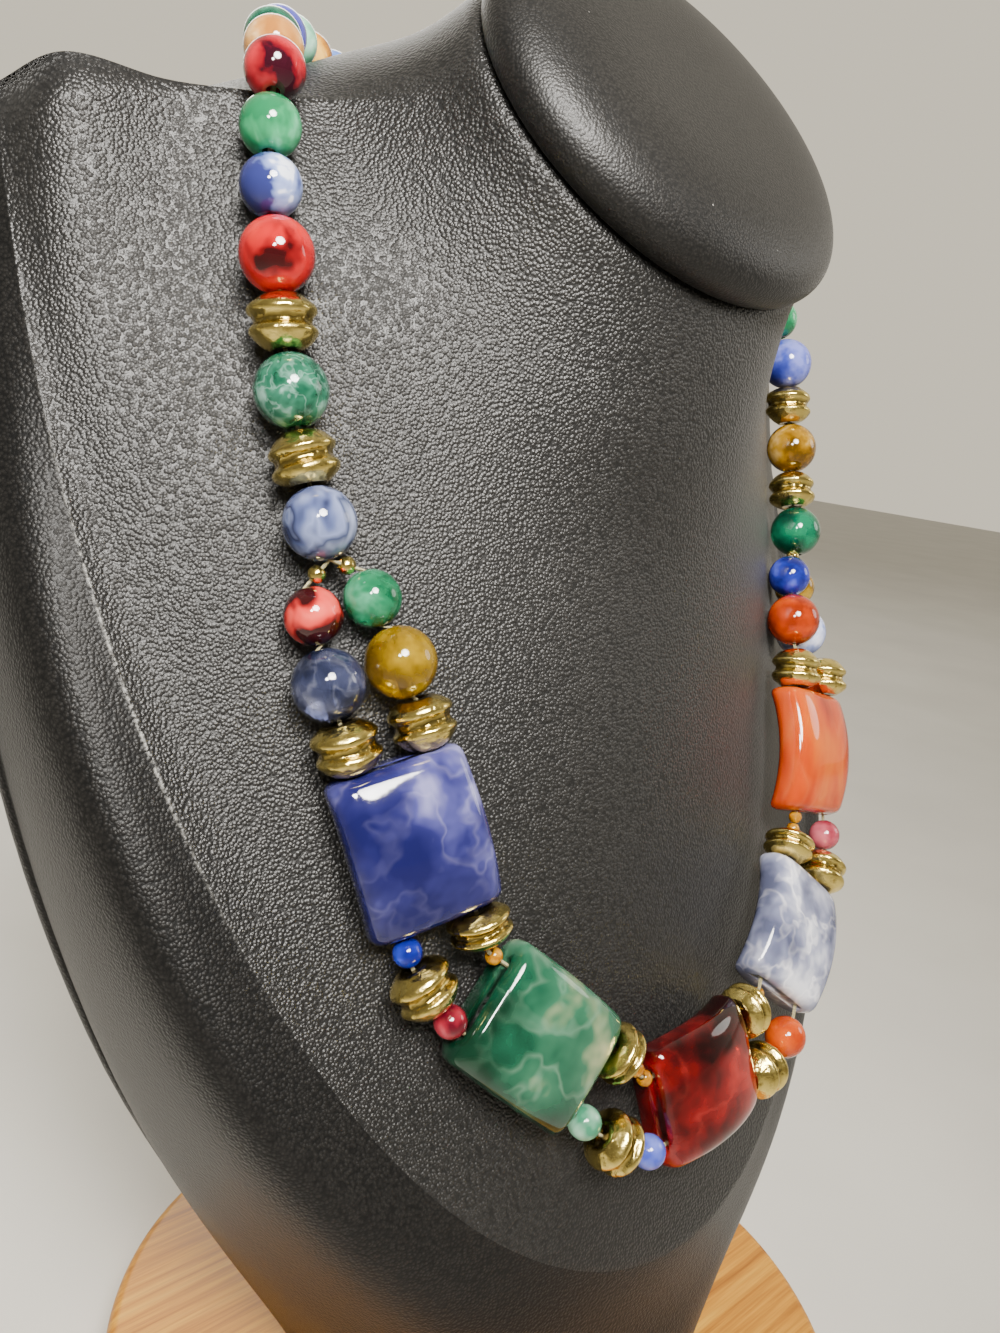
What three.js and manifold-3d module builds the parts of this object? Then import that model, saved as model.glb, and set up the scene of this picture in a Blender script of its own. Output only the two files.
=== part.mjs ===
// Two-strand beaded necklace on a leather neck bust with a round wooden base.
// Millimetres, +Z up, +X to the viewer's right, the chest faces -Y.
// The origin is the middle of the base's underside.

import * as THREE from 'three';
import { mergeVertices } from 'three/addons/utils/BufferGeometryUtils.js';
import Module from 'manifold-3d';

const wasm = await Module();
wasm.setup();

// Base disc
const BASE_RADIUS = 71.5;
const BASE_THICKNESS = 15;
const BASE_EDGE_RADIUS = 3;

// Bust body
const BODY_HEIGHT = 240;
const BODY_DEPTH = 110;
const CHEST_HALF_WIDTH = 91;
const SEAT_GAP = 0.3;

// Slanted oval cap that closes the neck. Its middle is placed by shares of BODY_DEPTH and of
// BODY_HEIGHT over the base.
const CAP_HALF_WIDTH = 38;
const CAP_HALF_LENGTH = 31.6;
const CAP_THICKNESS = 9;
const CAP_EDGE_RADIUS = 4;
const CAP_DOME = 1.6;
const CAP_OVERHANG = 0.8;
const CAP_TILT = 52;
const CAP_PLACE = { y: -0.038, z: 0.928 };
const CAP_SEAM = 0.6;

// Curved tiles with two bores
const TILE_LENGTH = 23.2;
const TILE_WIDTH = 19.8;
const TILE_THICKNESS = 7.6;
const TILE_BOW = 2.3;
const TILE_SQUARENESS = 3.4;
const STRAND_SPACING = 11;

// Beads and spacers
const LARGE_BEAD = 10;
const PAIR_BEAD = 8;
const NECK_BEAD = 8.2;
const SPLIT_BEAD = 2.5;
const SPLIT_RUN = 1.8;
const SPACER_LENGTH = 7;
const SHORT_SPACER_LENGTH = 5.2;
const SPACER_DIAMETER = 9.3;
const BEAD_GAP = 0.3;
const BORE_RADIUS = 0.9;
const THREAD_RADIUS = 0.3;
const SMALL_BORE_RADIUS = 0.6;

// Barrel clasp behind the neck
const CLASP_LENGTH = 13;
const CLASP_DIAMETER = 6;

// Height of the thread over the bust, and how far a piece may sink from it to rest on the bust
const THREAD_HEIGHT = LARGE_BEAD / 2 + SEAT_GAP;
const SINK_LIMIT = 1.3;

// Mesh fineness
const RING_POINTS = 44;
const RINGS_PER_ROW = 3;
const BEAD_SIDES = 12;
const BEAD_ROWS = 6;
const SMALL_BEAD_SIDES = 10;
const SMALL_BEAD_ROWS = 4;
const TILE_SIDES = 16;
const THREAD_SIDES = 5;

// Rings of the bust from throat to foot. Y columns are shares of BODY_DEPTH, X of
// CHEST_HALF_WIDTH and Z of BODY_HEIGHT over the base. front, side and back are the three
// points that a ring passes through, and the bends say how it turns between them:
// 1 is an ellipse, more draws the side into a corner.
const BUST_RINGS = [
  // name,    frontY, frontZ, sideX, sideY, sideZ, backY, backZ, frontBend, backBend, frontRise
  ['throat', -0.170, 0.780, 0.450, 0.080, 0.902, 0.290, 0.985, 1.10, 1.00, 1.00],
  ['nape', -0.163, 0.730, 0.540, 0.173, 0.894, 0.413, 0.964, 1.25, 0.95, 1.10],
  ['flare', -0.152, 0.643, 0.665, 0.210, 0.888, 0.495, 0.925, 1.30, 0.95, 1.15],
  ['yoke', -0.205, 0.518, 0.770, 0.242, 0.884, 0.570, 0.850, 1.38, 1.00, 1.00],
  ['breast', -0.282, 0.350, 0.905, 0.265, 0.884, 0.613, 0.698, 1.30, 1.15, 0.82],
  ['crease', -0.378, 0.186, 0.962, 0.345, 0.866, 0.620, 0.525, 0.97, 1.40, 0.85],
  ['band', -0.368, 0.125, 1.000, 0.312, 0.608, 0.555, 0.375, 0.80, 1.50, 1.15],
  ['waist', -0.377, 0.070, 0.797, 0.235, 0.304, 0.428, 0.188, 1.40, 1.60, 1.32],
  ['foot', -0.380, 0.000, 0.385, 0.090, 0.000, 0.232, 0.000, 1.80, 1.60, 1.00],
];
const CREASE_RING = 6;

// Route of the necklace's centre line over half of the bust: ring number (0 is the neck's
// rim) and angle round the bust from the front, in degrees. The other half mirrors it.
const NECKLACE_ROUTE = [
  [5.32, 0], [5.29, 8], [5.21, 16], [5.13, 23], [5.06, 29], [4.9, 34], [4.68, 37.5], [4.4, 44],
  [4.08, 53], [3.75, 60], [3.36, 67], [3.0, 77], [2.62, 91], [2.4, 108], [2.42, 127],
  [2.65, 147], [2.85, 165], [2.9, 180],
];

// Sections of a tile along its length: share of the half length, of the width and thickness
const TILE_SECTIONS = [
  // along, width, thickness
  [-1.00, 0.84, 0.76],
  [-0.95, 0.93, 0.90],
  [-0.80, 0.99, 0.98],
  [-0.40, 1.00, 1.00],
  [0.00, 1.01, 1.00],
  [0.40, 1.00, 1.00],
  [0.80, 0.99, 0.98],
  [0.95, 0.93, 0.90],
  [1.00, 0.84, 0.76],
];

// Tiles from the viewer's left to the right: the gap that follows each of them along the
// centre line, the degrees by which its outer edge stands off the bust, the degrees by which
// its right end turns towards the neck, and how far it lies towards the neck. The red tile's
// middle is the middle of the loop.
const TILES = [
  // name, gap after it, stand-off, turn, inward, colour
  ['tile_royal_blue_left', 13.2, 0, 0, 0, 0x2b3590],
  ['tile_green_left', 15.6, 0, 0, 0, 0x1f6b4c],
  ['tile_red_centre', 13.8, 5, 7, 0, 0x9c0f1c],
  ['tile_sky_blue_right', 15.4, 16, 8, 3, 0x8f9cc4],
  ['tile_orange_right', 0, 18, 0, 5, 0xf0661a],
];
const CENTRE_TILE = 2;

// How the pairs of round beads lie on each side: the degrees by which the outer one stands
// off the bust, how far both lie towards the neck, and the bare thread before them
const PAIRS = {
  left: { standOff: 0, inward: 0, run: 0 },
  right: { standOff: 22, inward: 3, run: 1.2 },
};

// Small beads in the gaps between tiles: the gap's number from the left, the strand, and
// whether the bead comes before or after the gold spacer of that gap and strand
const GAP_BEADS = [
  // name, gap, strand, side of the spacer, diameter, colour
  ['bead_gap1_blue', 1, 'outer', 'before', 4.2, 0x2c3fae],
  ['bead_gap1_red', 1, 'outer', 'after', 4.8, 0x8e1f35],
  ['seed_gap1_amber', 1, 'inner', 'after', 2.6, 0xd9a127],
  ['bead_gap2_pale_green', 2, 'outer', 'before', 5.2, 0x79b79a],
  ['bead_gap2_periwinkle', 2, 'outer', 'after', 5.4, 0x5867c6],
  ['seed_gap2_amber_a', 2, 'inner', 'after', 2.6, 0xd9a127],
  ['seed_gap2_amber_b', 2, 'inner', 'after', 2.6, 0xe0a82c],
  ['bead_gap3_orange', 3, 'outer', 'after', 7.2, 0xf0731f],
  ['seed_gap3_amber', 3, 'inner', 'after', 2.2, 0xe0a227],
  ['bead_gap4_pink', 4, 'outer', 'after', 5.8, 0xd8586b],
  ['seed_gap4_amber_a', 4, 'inner', 'after', 2.4, 0xe0a227],
  ['seed_gap4_amber_b', 4, 'inner', 'after', 2.4, 0xe0a227],
];

// Round beads of both strands above the outermost tiles
const PAIR_BEADS = [
  // name, side, strand, colour
  ['bead_ten_left_outer', 'left', 'outer', 0x5c6691],
  ['bead_ten_left_inner', 'left', 'inner', 0xb8891a],
  ['bead_ten_right_outer', 'right', 'outer', 0x8b9ccb],
  ['bead_ten_right_inner', 'right', 'inner', 0xe8541a],
];
const SMALLER_PAIR_BEADS = [
  // name, side, strand, colour
  ['bead_eight_left_outer', 'left', 'outer', 0xc2474a],
  ['bead_eight_left_inner', 'left', 'inner', 0x2f9466],
  ['bead_eight_right_outer', 'right', 'outer', 0xb8891a],
  ['bead_eight_right_inner', 'right', 'inner', 0x2c349c],
];

// Single beads from where the strands meet up to the neck string, with a spacer between two
const SINGLE_BEADS = [
  // name, side, colour
  ['bead_ten_left_blue', 'left', 0x7d90bd],
  ['bead_ten_left_green', 'left', 0x2f7f68],
  ['bead_ten_left_red', 'left', 0xa81420],
  ['bead_ten_right_emerald', 'right', 0x0f7a55],
  ['bead_ten_right_amber', 'right', 0xa87416],
  ['bead_ten_right_periwinkle', 'right', 0x414fa8],
];

const GOLD = 0xb59a45;
const LEATHER = 0x1b1a1c;
const WOOD = 0xdcae6a;
const THREAD_COLOUR = 0x8f8a6a;
const NECK_COLOURS = { left: 0x2f6b57, right: 0x3b5a86 };

const group = new THREE.Group();

function addMesh(name, geometry, colour, roughness, metalness) {
  const material = new THREE.MeshStandardMaterial({ color: colour, roughness, metalness });
  const mesh = new THREE.Mesh(geometry, material);
  mesh.name = name;
  group.add(mesh);
  return mesh;
}

// Closed meshes and solids

function bareGeometry(geometry) {
  const bare = geometry.clone();
  bare.deleteAttribute('normal');
  bare.deleteAttribute('uv');
  return mergeVertices(bare, 1e-4);
}

function toSolid(geometry) {
  const bare = bareGeometry(geometry);
  const mesh = new wasm.Mesh({
    numProp: 3,
    vertProperties: new Float32Array(bare.attributes.position.array),
    triVerts: new Uint32Array(bare.index.array),
  });
  return new wasm.Manifold(mesh);
}

function toGeometry(solid) {
  const mesh = solid.getMesh();
  const geometry = new THREE.BufferGeometry();
  geometry.setAttribute('position', new THREE.BufferAttribute(new Float32Array(mesh.vertProperties), 3));
  geometry.setIndex(new THREE.BufferAttribute(new Uint32Array(mesh.triVerts), 1));
  geometry.computeVertexNormals();
  return geometry;
}

// A closed body from rings that all have the same number of points, with flat ends
function loftRings(rings) {
  const count = rings[0].length;
  const positions = rings.flat().flatMap((point) => [point.x, point.y, point.z]);
  const index = [];
  for (let row = 0; row + 1 < rings.length; row += 1) {
    for (let i = 0; i < count; i += 1) {
      const a = row * count + i;
      const b = row * count + ((i + 1) % count);
      index.push(a, b, a + count, b, b + count, a + count);
    }
  }
  const last = (rings.length - 1) * count;
  for (let i = 1; i + 1 < count; i += 1) {
    index.push(0, i + 1, i);
    index.push(last, last + i, last + i + 1);
  }
  const geometry = new THREE.BufferGeometry();
  geometry.setAttribute('position', new THREE.Float32BufferAttribute(positions, 3));
  geometry.setIndex(index);
  geometry.computeVertexNormals();
  return geometry;
}

// The bust's surface, as rings and angles

const capTilt = THREE.MathUtils.degToRad(CAP_TILT);
const capLengthwise = new THREE.Vector3(0, Math.cos(capTilt), Math.sin(capTilt));
const capOutward = new THREE.Vector3(0, -Math.sin(capTilt), Math.cos(capTilt));
const bodyBottom = BASE_THICKNESS + SEAT_GAP;
const capMiddle = new THREE.Vector3(0, CAP_PLACE.y * BODY_DEPTH, bodyBottom + CAP_PLACE.z * BODY_HEIGHT);

// The rim is the flat oval face that the cap closes
function rimRow() {
  const middle = capMiddle.clone().addScaledVector(capOutward, -CAP_THICKNESS / 2 - CAP_SEAM);
  const halfWidth = CAP_HALF_WIDTH - CAP_OVERHANG;
  const halfLength = CAP_HALF_LENGTH - CAP_OVERHANG;
  return {
    front: middle.clone().addScaledVector(capLengthwise, -halfLength),
    side: middle.clone().setX(halfWidth),
    back: middle.clone().addScaledVector(capLengthwise, halfLength),
    bends: new THREE.Vector3(1, 1, 1),
  };
}

function tableRow([, frontY, frontZ, sideX, sideY, sideZ, backY, backZ, frontBend, backBend, frontRise]) {
  const height = (share) => bodyBottom + share * BODY_HEIGHT;
  return {
    front: new THREE.Vector3(0, frontY * BODY_DEPTH, height(frontZ)),
    side: new THREE.Vector3(sideX * CHEST_HALF_WIDTH, sideY * BODY_DEPTH, height(sideZ)),
    back: new THREE.Vector3(0, backY * BODY_DEPTH, height(backZ)),
    bends: new THREE.Vector3(frontBend, backBend, frontRise),
  };
}

const bustRows = [rimRow(), ...BUST_RINGS.map(tableRow)];
const FOOT_RING = bustRows.length - 1;

// The guides run smoothly from the rim to the crease and from the crease to the foot
function guidesOf(rows) {
  const guides = {};
  for (const key of ['front', 'side', 'back', 'bends']) {
    guides[key] = new THREE.CatmullRomCurve3(rows.map((row) => row[key]), false, 'catmullrom', 0.5);
  }
  return guides;
}

const upperGuides = guidesOf(bustRows.slice(0, CREASE_RING + 1));
const lowerGuides = guidesOf(bustRows.slice(CREASE_RING));

function bustPoint(ring, degrees) {
  const above = ring <= CREASE_RING;
  const guides = above ? upperGuides : lowerGuides;
  const share = above ? ring / CREASE_RING : (ring - CREASE_RING) / (FOOT_RING - CREASE_RING);
  const front = guides.front.getPoint(share);
  const side = guides.side.getPoint(share);
  const back = guides.back.getPoint(share);
  const bends = guides.bends.getPoint(share);
  const angle = THREE.MathUtils.degToRad(degrees);
  const lengthwise = Math.abs(Math.cos(angle));
  const inFront = Math.cos(angle) > 0;
  const end = inFront ? front : back;
  const reach = lengthwise ** (inFront ? bends.x : bends.y);
  const rise = lengthwise ** (inFront ? bends.z : 1);
  return new THREE.Vector3(
    side.x * Math.sin(angle),
    side.y + (end.y - side.y) * reach,
    side.z + (end.z - side.z) * rise,
  );
}

function bustNormal(ring, degrees) {
  const step = 0.02;
  const lower = bustPoint(Math.min(ring + step, FOOT_RING), degrees);
  const down = lower.sub(bustPoint(Math.max(ring - step, 0), degrees));
  const round = bustPoint(ring, degrees + 1).sub(bustPoint(ring, degrees - 1));
  return down.cross(round).normalize();
}

function bustBody() {
  const rings = [];
  for (let i = 0; i <= FOOT_RING * RINGS_PER_ROW; i += 1) {
    const ring = [];
    for (let j = 0; j < RING_POINTS; j += 1) {
      ring.push(bustPoint(i / RINGS_PER_ROW, (360 * j) / RING_POINTS));
    }
    rings.push(ring);
  }
  return loftRings(rings.reverse());
}

// The cap: a padded oval disc with a rounded lip and a slightly domed face
function neckCap() {
  const half = CAP_THICKNESS / 2;
  const edge = CAP_EDGE_RADIUS;
  const flat = CAP_HALF_WIDTH - edge;
  const profile = [new THREE.Vector2(0, -half), new THREE.Vector2(flat, -half)];
  for (let i = 1; i <= 4; i += 1) {
    const turn = (Math.PI * i) / 5 - Math.PI / 2;
    profile.push(new THREE.Vector2(flat + edge * Math.cos(turn), half * Math.sin(turn)));
  }
  profile.push(new THREE.Vector2(flat, half));
  profile.push(new THREE.Vector2(flat / 2, half + CAP_DOME * 0.75));
  profile.push(new THREE.Vector2(0, half + CAP_DOME));
  const geometry = new THREE.LatheGeometry(profile, 36);
  geometry.scale(1, 1, CAP_HALF_LENGTH / CAP_HALF_WIDTH);
  const mesh = addMesh('neck_cap', geometry, LEATHER, 0.55, 0);
  mesh.position.copy(capMiddle);
  mesh.quaternion.setFromUnitVectors(new THREE.Vector3(0, 1, 0), capOutward);
}

// The base: a flat disc with both edges rounded
function baseDisc() {
  const edge = BASE_EDGE_RADIUS;
  const profile = [new THREE.Vector2(0, 0), new THREE.Vector2(BASE_RADIUS - edge, 0)];
  for (const [middle, start] of [[edge, -Math.PI / 2], [BASE_THICKNESS - edge, 0]]) {
    for (let i = start < 0 ? 1 : 0; i <= 2; i += 1) {
      const turn = start + (Math.PI * i) / 4;
      const radius = BASE_RADIUS - edge + edge * Math.cos(turn);
      profile.push(new THREE.Vector2(radius, middle + edge * Math.sin(turn)));
    }
  }
  profile.push(new THREE.Vector2(0, BASE_THICKNESS));
  const geometry = new THREE.LatheGeometry(profile, 40);
  geometry.rotateX(Math.PI / 2);
  addMesh('wood_base', geometry, WOOD, 0.5, 0);
}

// The necklace's centre line, closed round the neck. Its length runs from the front centre
// towards the viewer's right, so a negative length lies on the left.

const routeStops = [...NECKLACE_ROUTE.slice(0, -1)];
const mirroredStops = NECKLACE_ROUTE.slice(1, -1).reverse().map(([ring, degrees]) => [ring, 360 - degrees]);
const loopStops = [...routeStops, NECKLACE_ROUTE[NECKLACE_ROUTE.length - 1], ...mirroredStops];
const footPoints = loopStops.map(([ring, degrees]) => bustPoint(ring, degrees));
const threadPoints = loopStops.map(([ring, degrees], i) => (
  footPoints[i].clone().addScaledVector(bustNormal(ring, degrees), THREAD_HEIGHT)
));
const footLine = new THREE.CatmullRomCurve3(footPoints, true, 'catmullrom', 0.5);
const threadLine = new THREE.CatmullRomCurve3(threadPoints, true, 'catmullrom', 0.5);
threadLine.arcLengthDivisions = 2400;
const loopLength = threadLine.getLength();

function frameAt(length) {
  const share = ((length / loopLength) % 1 + 1) % 1;
  const t = threadLine.getUtoTmapping(share);
  const position = threadLine.getPoint(t);
  const along = threadLine.getTangent(t).normalize();
  const out = position.clone().sub(footLine.getPoint(t)).normalize();
  const inner = out.clone().cross(along).normalize();
  return { position, along, inner, out: along.clone().cross(inner).normalize() };
}

// How far a point is from the bust, by the nearest point of a fine grid of its surface
const bustGrid = [];
for (let ring = 1; ring <= CREASE_RING + 1; ring += 0.1) {
  for (let degrees = 0; degrees < 360; degrees += 3) {
    bustGrid.push({ point: bustPoint(ring, degrees), normal: bustNormal(ring, degrees) });
  }
}

function heightOverBust(point) {
  let best = bustGrid[0];
  let bestDistance = Infinity;
  for (const sample of bustGrid) {
    const distance = sample.point.distanceToSquared(point);
    if (distance < bestDistance) {
      bestDistance = distance;
      best = sample;
    }
  }
  return point.clone().sub(best.point).dot(best.normal);
}

// Moves a piece along its outward axis until it rests over the bust with the seat gap
function seat(frame, supports) {
  const heights = supports.map(({ point, radius }) => {
    const world = frame.position.clone()
      .addScaledVector(frame.along, point.x)
      .addScaledVector(frame.inner, point.y)
      .addScaledVector(frame.out, point.z);
    return heightOverBust(world) - radius;
  });
  const lift = SEAT_GAP - Math.min(...heights);
  frame.position.addScaledVector(frame.out, Math.max(lift, -SINK_LIMIT));
  return frame;
}

// Turns a frame about its axis, so that what lies on its outer side stands off the bust
function standOffBust(frame, degrees) {
  const turn = THREE.MathUtils.degToRad(-degrees);
  frame.inner.applyAxisAngle(frame.along, turn);
  frame.out.applyAxisAngle(frame.along, turn);
}

function placeOnFrame(mesh, frame) {
  const basis = new THREE.Matrix4().makeBasis(frame.along, frame.inner, frame.out);
  mesh.quaternion.setFromRotationMatrix(basis);
  mesh.position.copy(frame.position);
}

// Bead shapes, with the bore along X

const isSmall = (diameter) => diameter < PAIR_BEAD;
const boreOf = (diameter) => (isSmall(diameter) ? SMALL_BORE_RADIUS : BORE_RADIUS);

function beadLength(diameter) {
  return 2 * Math.sqrt((diameter / 2) ** 2 - boreOf(diameter) ** 2);
}

function boredBead(diameter) {
  const sides = isSmall(diameter) ? SMALL_BEAD_SIDES : BEAD_SIDES;
  const rows = isSmall(diameter) ? SMALL_BEAD_ROWS : BEAD_ROWS;
  const radius = diameter / 2;
  const end = Math.asin(boreOf(diameter) / radius);
  const profile = [];
  for (let i = 0; i <= rows; i += 1) {
    const turn = end + ((Math.PI - 2 * end) * i) / rows;
    profile.push(new THREE.Vector2(radius * Math.sin(turn), -radius * Math.cos(turn)));
  }
  profile.push(profile[0].clone());
  const geometry = new THREE.LatheGeometry(profile, sides);
  geometry.rotateZ(-Math.PI / 2);
  return geometry;
}

// Half a spacer's outline: shares of the half length from the middle and of the radius
const SPACER_OUTLINE = [
  // along, radius
  [0.00, 0.78],
  [0.56, 1.00],
  [1.00, 0.68],
];

function spacerGeometry(length) {
  const half = length / 2;
  const radius = SPACER_DIAMETER / 2;
  const toPoint = (sign) => ([along, share]) => new THREE.Vector2(radius * share, sign * along * half);
  const profile = [
    new THREE.Vector2(BORE_RADIUS, -half),
    ...SPACER_OUTLINE.slice(1).reverse().map(toPoint(-1)),
    ...SPACER_OUTLINE.map(toPoint(1)),
    new THREE.Vector2(BORE_RADIUS, half),
    new THREE.Vector2(BORE_RADIUS, -half),
  ];
  const geometry = new THREE.LatheGeometry(profile, BEAD_SIDES);
  geometry.rotateZ(-Math.PI / 2);
  return geometry;
}

// A tile bends towards its back, so its middle stands proud of its ends. Its ends stay square
// to the bores.
const tileBendRadius = ((TILE_LENGTH / 2) ** 2 + TILE_BOW ** 2) / (2 * TILE_BOW);

function tilePoint(along, across, height) {
  const x = (along * TILE_LENGTH) / 2;
  const bend = Math.sqrt(tileBendRadius ** 2 - x ** 2) - tileBendRadius;
  return new THREE.Vector3(x, across, height + bend + TILE_BOW / 2);
}

function tileGeometry() {
  const rings = TILE_SECTIONS.map(([along, widthShare, thicknessShare]) => {
    const ring = [];
    for (let i = 0; i < TILE_SIDES; i += 1) {
      const turn = (2 * Math.PI * (i + 0.5)) / TILE_SIDES;
      const squared = (value) => Math.sign(value) * Math.abs(value) ** (2 / TILE_SQUARENESS);
      const across = (squared(Math.cos(turn)) * TILE_WIDTH * widthShare) / 2;
      const height = (squared(Math.sin(turn)) * TILE_THICKNESS * thicknessShare) / 2;
      ring.push(tilePoint(along, across, height));
    }
    return ring;
  });
  let solid = toSolid(loftRings(rings));
  for (const side of [-1, 1]) {
    const drill = new THREE.CylinderGeometry(BORE_RADIUS, BORE_RADIUS, TILE_LENGTH * 1.5, 8);
    drill.rotateZ(Math.PI / 2);
    drill.translate(0, (side * STRAND_SPACING) / 2, 0);
    solid = solid.subtract(toSolid(drill));
  }
  return toGeometry(solid);
}

// Placing pieces. Each strand keeps a list of the bore ends that its thread passes through.

const strandStops = { inner: [], outer: [] };

function noteBore(strand, position, along, halfLength, place) {
  strandStops[strand].push(
    { place: place - 0.01, point: position.clone().addScaledVector(along, -halfLength) },
    { place: place + 0.01, point: position.clone().addScaledVector(along, halfLength) },
  );
}

function strandFrame(length, offset, standOff = 0) {
  const frame = frameAt(length);
  standOffBust(frame, standOff);
  frame.position.addScaledVector(frame.inner, offset);
  return frame;
}

function addRoundBead(name, frame, diameter, colour) {
  placeOnFrame(addMesh(name, boredBead(diameter), colour, 0.2, 0), frame);
}

function addSpacer(name, frame, length) {
  placeOnFrame(addMesh(name, spacerGeometry(length), GOLD, 0.3, 1), frame);
}

const roundSupport = (diameter) => [{ point: new THREE.Vector3(), radius: diameter / 2 }];

function tileSupports() {
  const supports = [];
  for (const along of [-1, -0.9, -0.5, 0, 0.5, 0.9, 1]) {
    for (const across of [-0.5, -0.4, -0.2, 0, 0.2, 0.4, 0.5]) {
      supports.push({ point: tilePoint(along, across * TILE_WIDTH, -TILE_THICKNESS / 2), radius: 0 });
    }
  }
  return supports;
}

// Middles of the tiles along the loop
const tileMiddles = [0];
for (const [, gap] of TILES.slice(0, -1)) {
  tileMiddles.push(tileMiddles[tileMiddles.length - 1] + TILE_LENGTH + gap);
}
const loopStart = tileMiddles[CENTRE_TILE];
tileMiddles.forEach((middle, i) => {
  tileMiddles[i] = middle - loopStart;
});
const tileFrames = [];

function addTiles() {
  const geometry = tileGeometry();
  TILES.forEach(([name, , standOff, turn, inward, colour], i) => {
    const middle = tileMiddles[i];
    const start = frameAt(middle - TILE_LENGTH / 2);
    const end = frameAt(middle + TILE_LENGTH / 2);
    const frame = frameAt(middle);
    frame.position.copy(start.position).add(end.position).multiplyScalar(0.5);
    frame.along.copy(end.position).sub(start.position).normalize();
    frame.inner.copy(frame.out).cross(frame.along).normalize();
    frame.out.copy(frame.along).cross(frame.inner);
    frame.position.addScaledVector(frame.inner, inward);
    frame.along.applyAxisAngle(frame.out, THREE.MathUtils.degToRad(turn));
    frame.inner.copy(frame.out).cross(frame.along);
    standOffBust(frame, standOff);
    seat(frame, tileSupports());
    placeOnFrame(addMesh(name, geometry.clone(), colour, 0.15, 0), frame);
    tileFrames.push(frame);
    for (const [strand, side] of [['inner', 1], ['outer', -1]]) {
      const position = frame.position.clone().addScaledVector(frame.inner, (side * STRAND_SPACING) / 2);
      noteBore(strand, position, frame.along, TILE_LENGTH / 2, middle);
    }
  });
}

function tileEnd(tile, side, end) {
  const frame = tileFrames[tile];
  return frame.position.clone()
    .addScaledVector(frame.inner, (side * STRAND_SPACING) / 2)
    .addScaledVector(frame.along, (end * TILE_LENGTH) / 2);
}

// A frame at a point, with its axis along the strand and its back to the bust
function turnedFrame(position, along, out) {
  const inner = out.clone().cross(along).normalize();
  return { position, along, inner, out: along.clone().cross(inner) };
}

// A spacer flat against a tile's end. end is 1 for the tile's right end and -1 for its left.
function addTileSpacer(name, tile, strand, end, length) {
  const frame = tileFrames[tile];
  const side = strand === 'inner' ? 1 : -1;
  const reach = end * (BEAD_GAP + length / 2);
  const position = tileEnd(tile, side, end).addScaledVector(frame.along, reach);
  addSpacer(name, turnedFrame(position, frame.along.clone(), frame.out.clone()), length);
  noteBore(strand, position, frame.along, length / 2, tileMiddles[tile] + (end * TILE_LENGTH) / 2 + reach);
}

// Fills one strand between two tiles. The spacer lies flat against the left tile unless a
// bead comes before it, and what the pieces leave of the room is shared as bare thread.
function addGapRow(gap, strand) {
  const side = strand === 'inner' ? 1 : -1;
  const left = tileFrames[gap - 1];
  const right = tileFrames[gap];
  const toItem = ([name, , , , diameter, colour]) => ({
    name, diameter, length: beadLength(diameter), colour,
  });
  const beads = GAP_BEADS.filter((bead) => bead[1] === gap && bead[2] === strand);
  const before = beads.filter((bead) => bead[3] === 'before').map(toItem);
  const after = beads.filter((bead) => bead[3] === 'after').map(toItem);
  const spacer = {
    name: `spacer_gap${gap}_${strand}`,
    length: strand === 'inner' ? SHORT_SPACER_LENGTH : SPACER_LENGTH,
  };
  const start = tileEnd(gap - 1, side, 1);
  const end = tileEnd(gap, side, -1);
  let row = [...before, spacer, ...after];
  let gapPlace = tileMiddles[gap - 1] + TILE_LENGTH / 2;
  if (before.length === 0) {
    addTileSpacer(spacer.name, gap - 1, strand, 1, spacer.length);
    start.addScaledVector(left.along, BEAD_GAP + spacer.length);
    gapPlace += BEAD_GAP + spacer.length;
    row = after;
  }
  const pull = start.distanceTo(end) / 3;
  const startPull = start.clone().addScaledVector(left.along, pull);
  const endPull = end.clone().addScaledVector(right.along, -pull);
  const strandLine = new THREE.CubicBezierCurve3(start, startPull, endPull, end);
  const room = strandLine.getLength();
  const used = row.reduce((sum, item) => sum + item.length, 0);
  const space = (room - used) / (row.length + 1);
  let place = space;
  for (const item of row) {
    const middle = (place + item.length / 2) / room;
    const out = left.out.clone().lerp(right.out, middle).normalize();
    const frame = turnedFrame(strandLine.getPointAt(middle), strandLine.getTangentAt(middle), out);
    if (item === spacer) {
      addSpacer(item.name, frame, item.length);
    } else {
      addRoundBead(item.name, frame, item.diameter, item.colour);
    }
    noteBore(strand, frame.position, frame.along, item.length / 2, gapPlace + middle);
    place += item.length + space;
  }
}

// A round bead on one strand, seated on the bust
function addStrandBead(name, length, offset, standOff, strand, diameter, colour) {
  const frame = seat(strandFrame(length, offset, standOff), roundSupport(diameter));
  addRoundBead(name, frame, diameter, colour);
  noteBore(strand, frame.position, frame.along, beadLength(diameter) / 2, length);
}

function addStrandSpacer(name, length) {
  const frame = seat(strandFrame(length, 0), roundSupport(SPACER_DIAMETER));
  addSpacer(name, frame, SPACER_LENGTH);
  noteBore('inner', frame.position, frame.along, SPACER_LENGTH / 2, length);
}

// A small gold bead halfway along the bare thread between a pair bead and the junction. It
// rides on the thread and doesn't reach the bust.
function addSplitBead(name, strand, from, junction, out, place) {
  const middle = from.clone().lerp(junction, 0.5);
  const along = junction.clone().sub(from).normalize();
  const across = out.clone().cross(along).normalize();
  const frame = { position: middle, along, inner: across, out: along.clone().cross(across) };
  addRoundBead(name, frame, SPLIT_BEAD, GOLD);
  const halfLength = (Math.sign(place) * beadLength(SPLIT_BEAD)) / 2;
  noteBore(strand, middle, along, halfLength, place);
}

const pairOffset = (diameter) => (diameter + BEAD_GAP) / 2;
const outermost = (stops, sign) => stops.reduce((best, stop) => (
  sign * stop.place > sign * best.place ? stop : best
));

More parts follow.
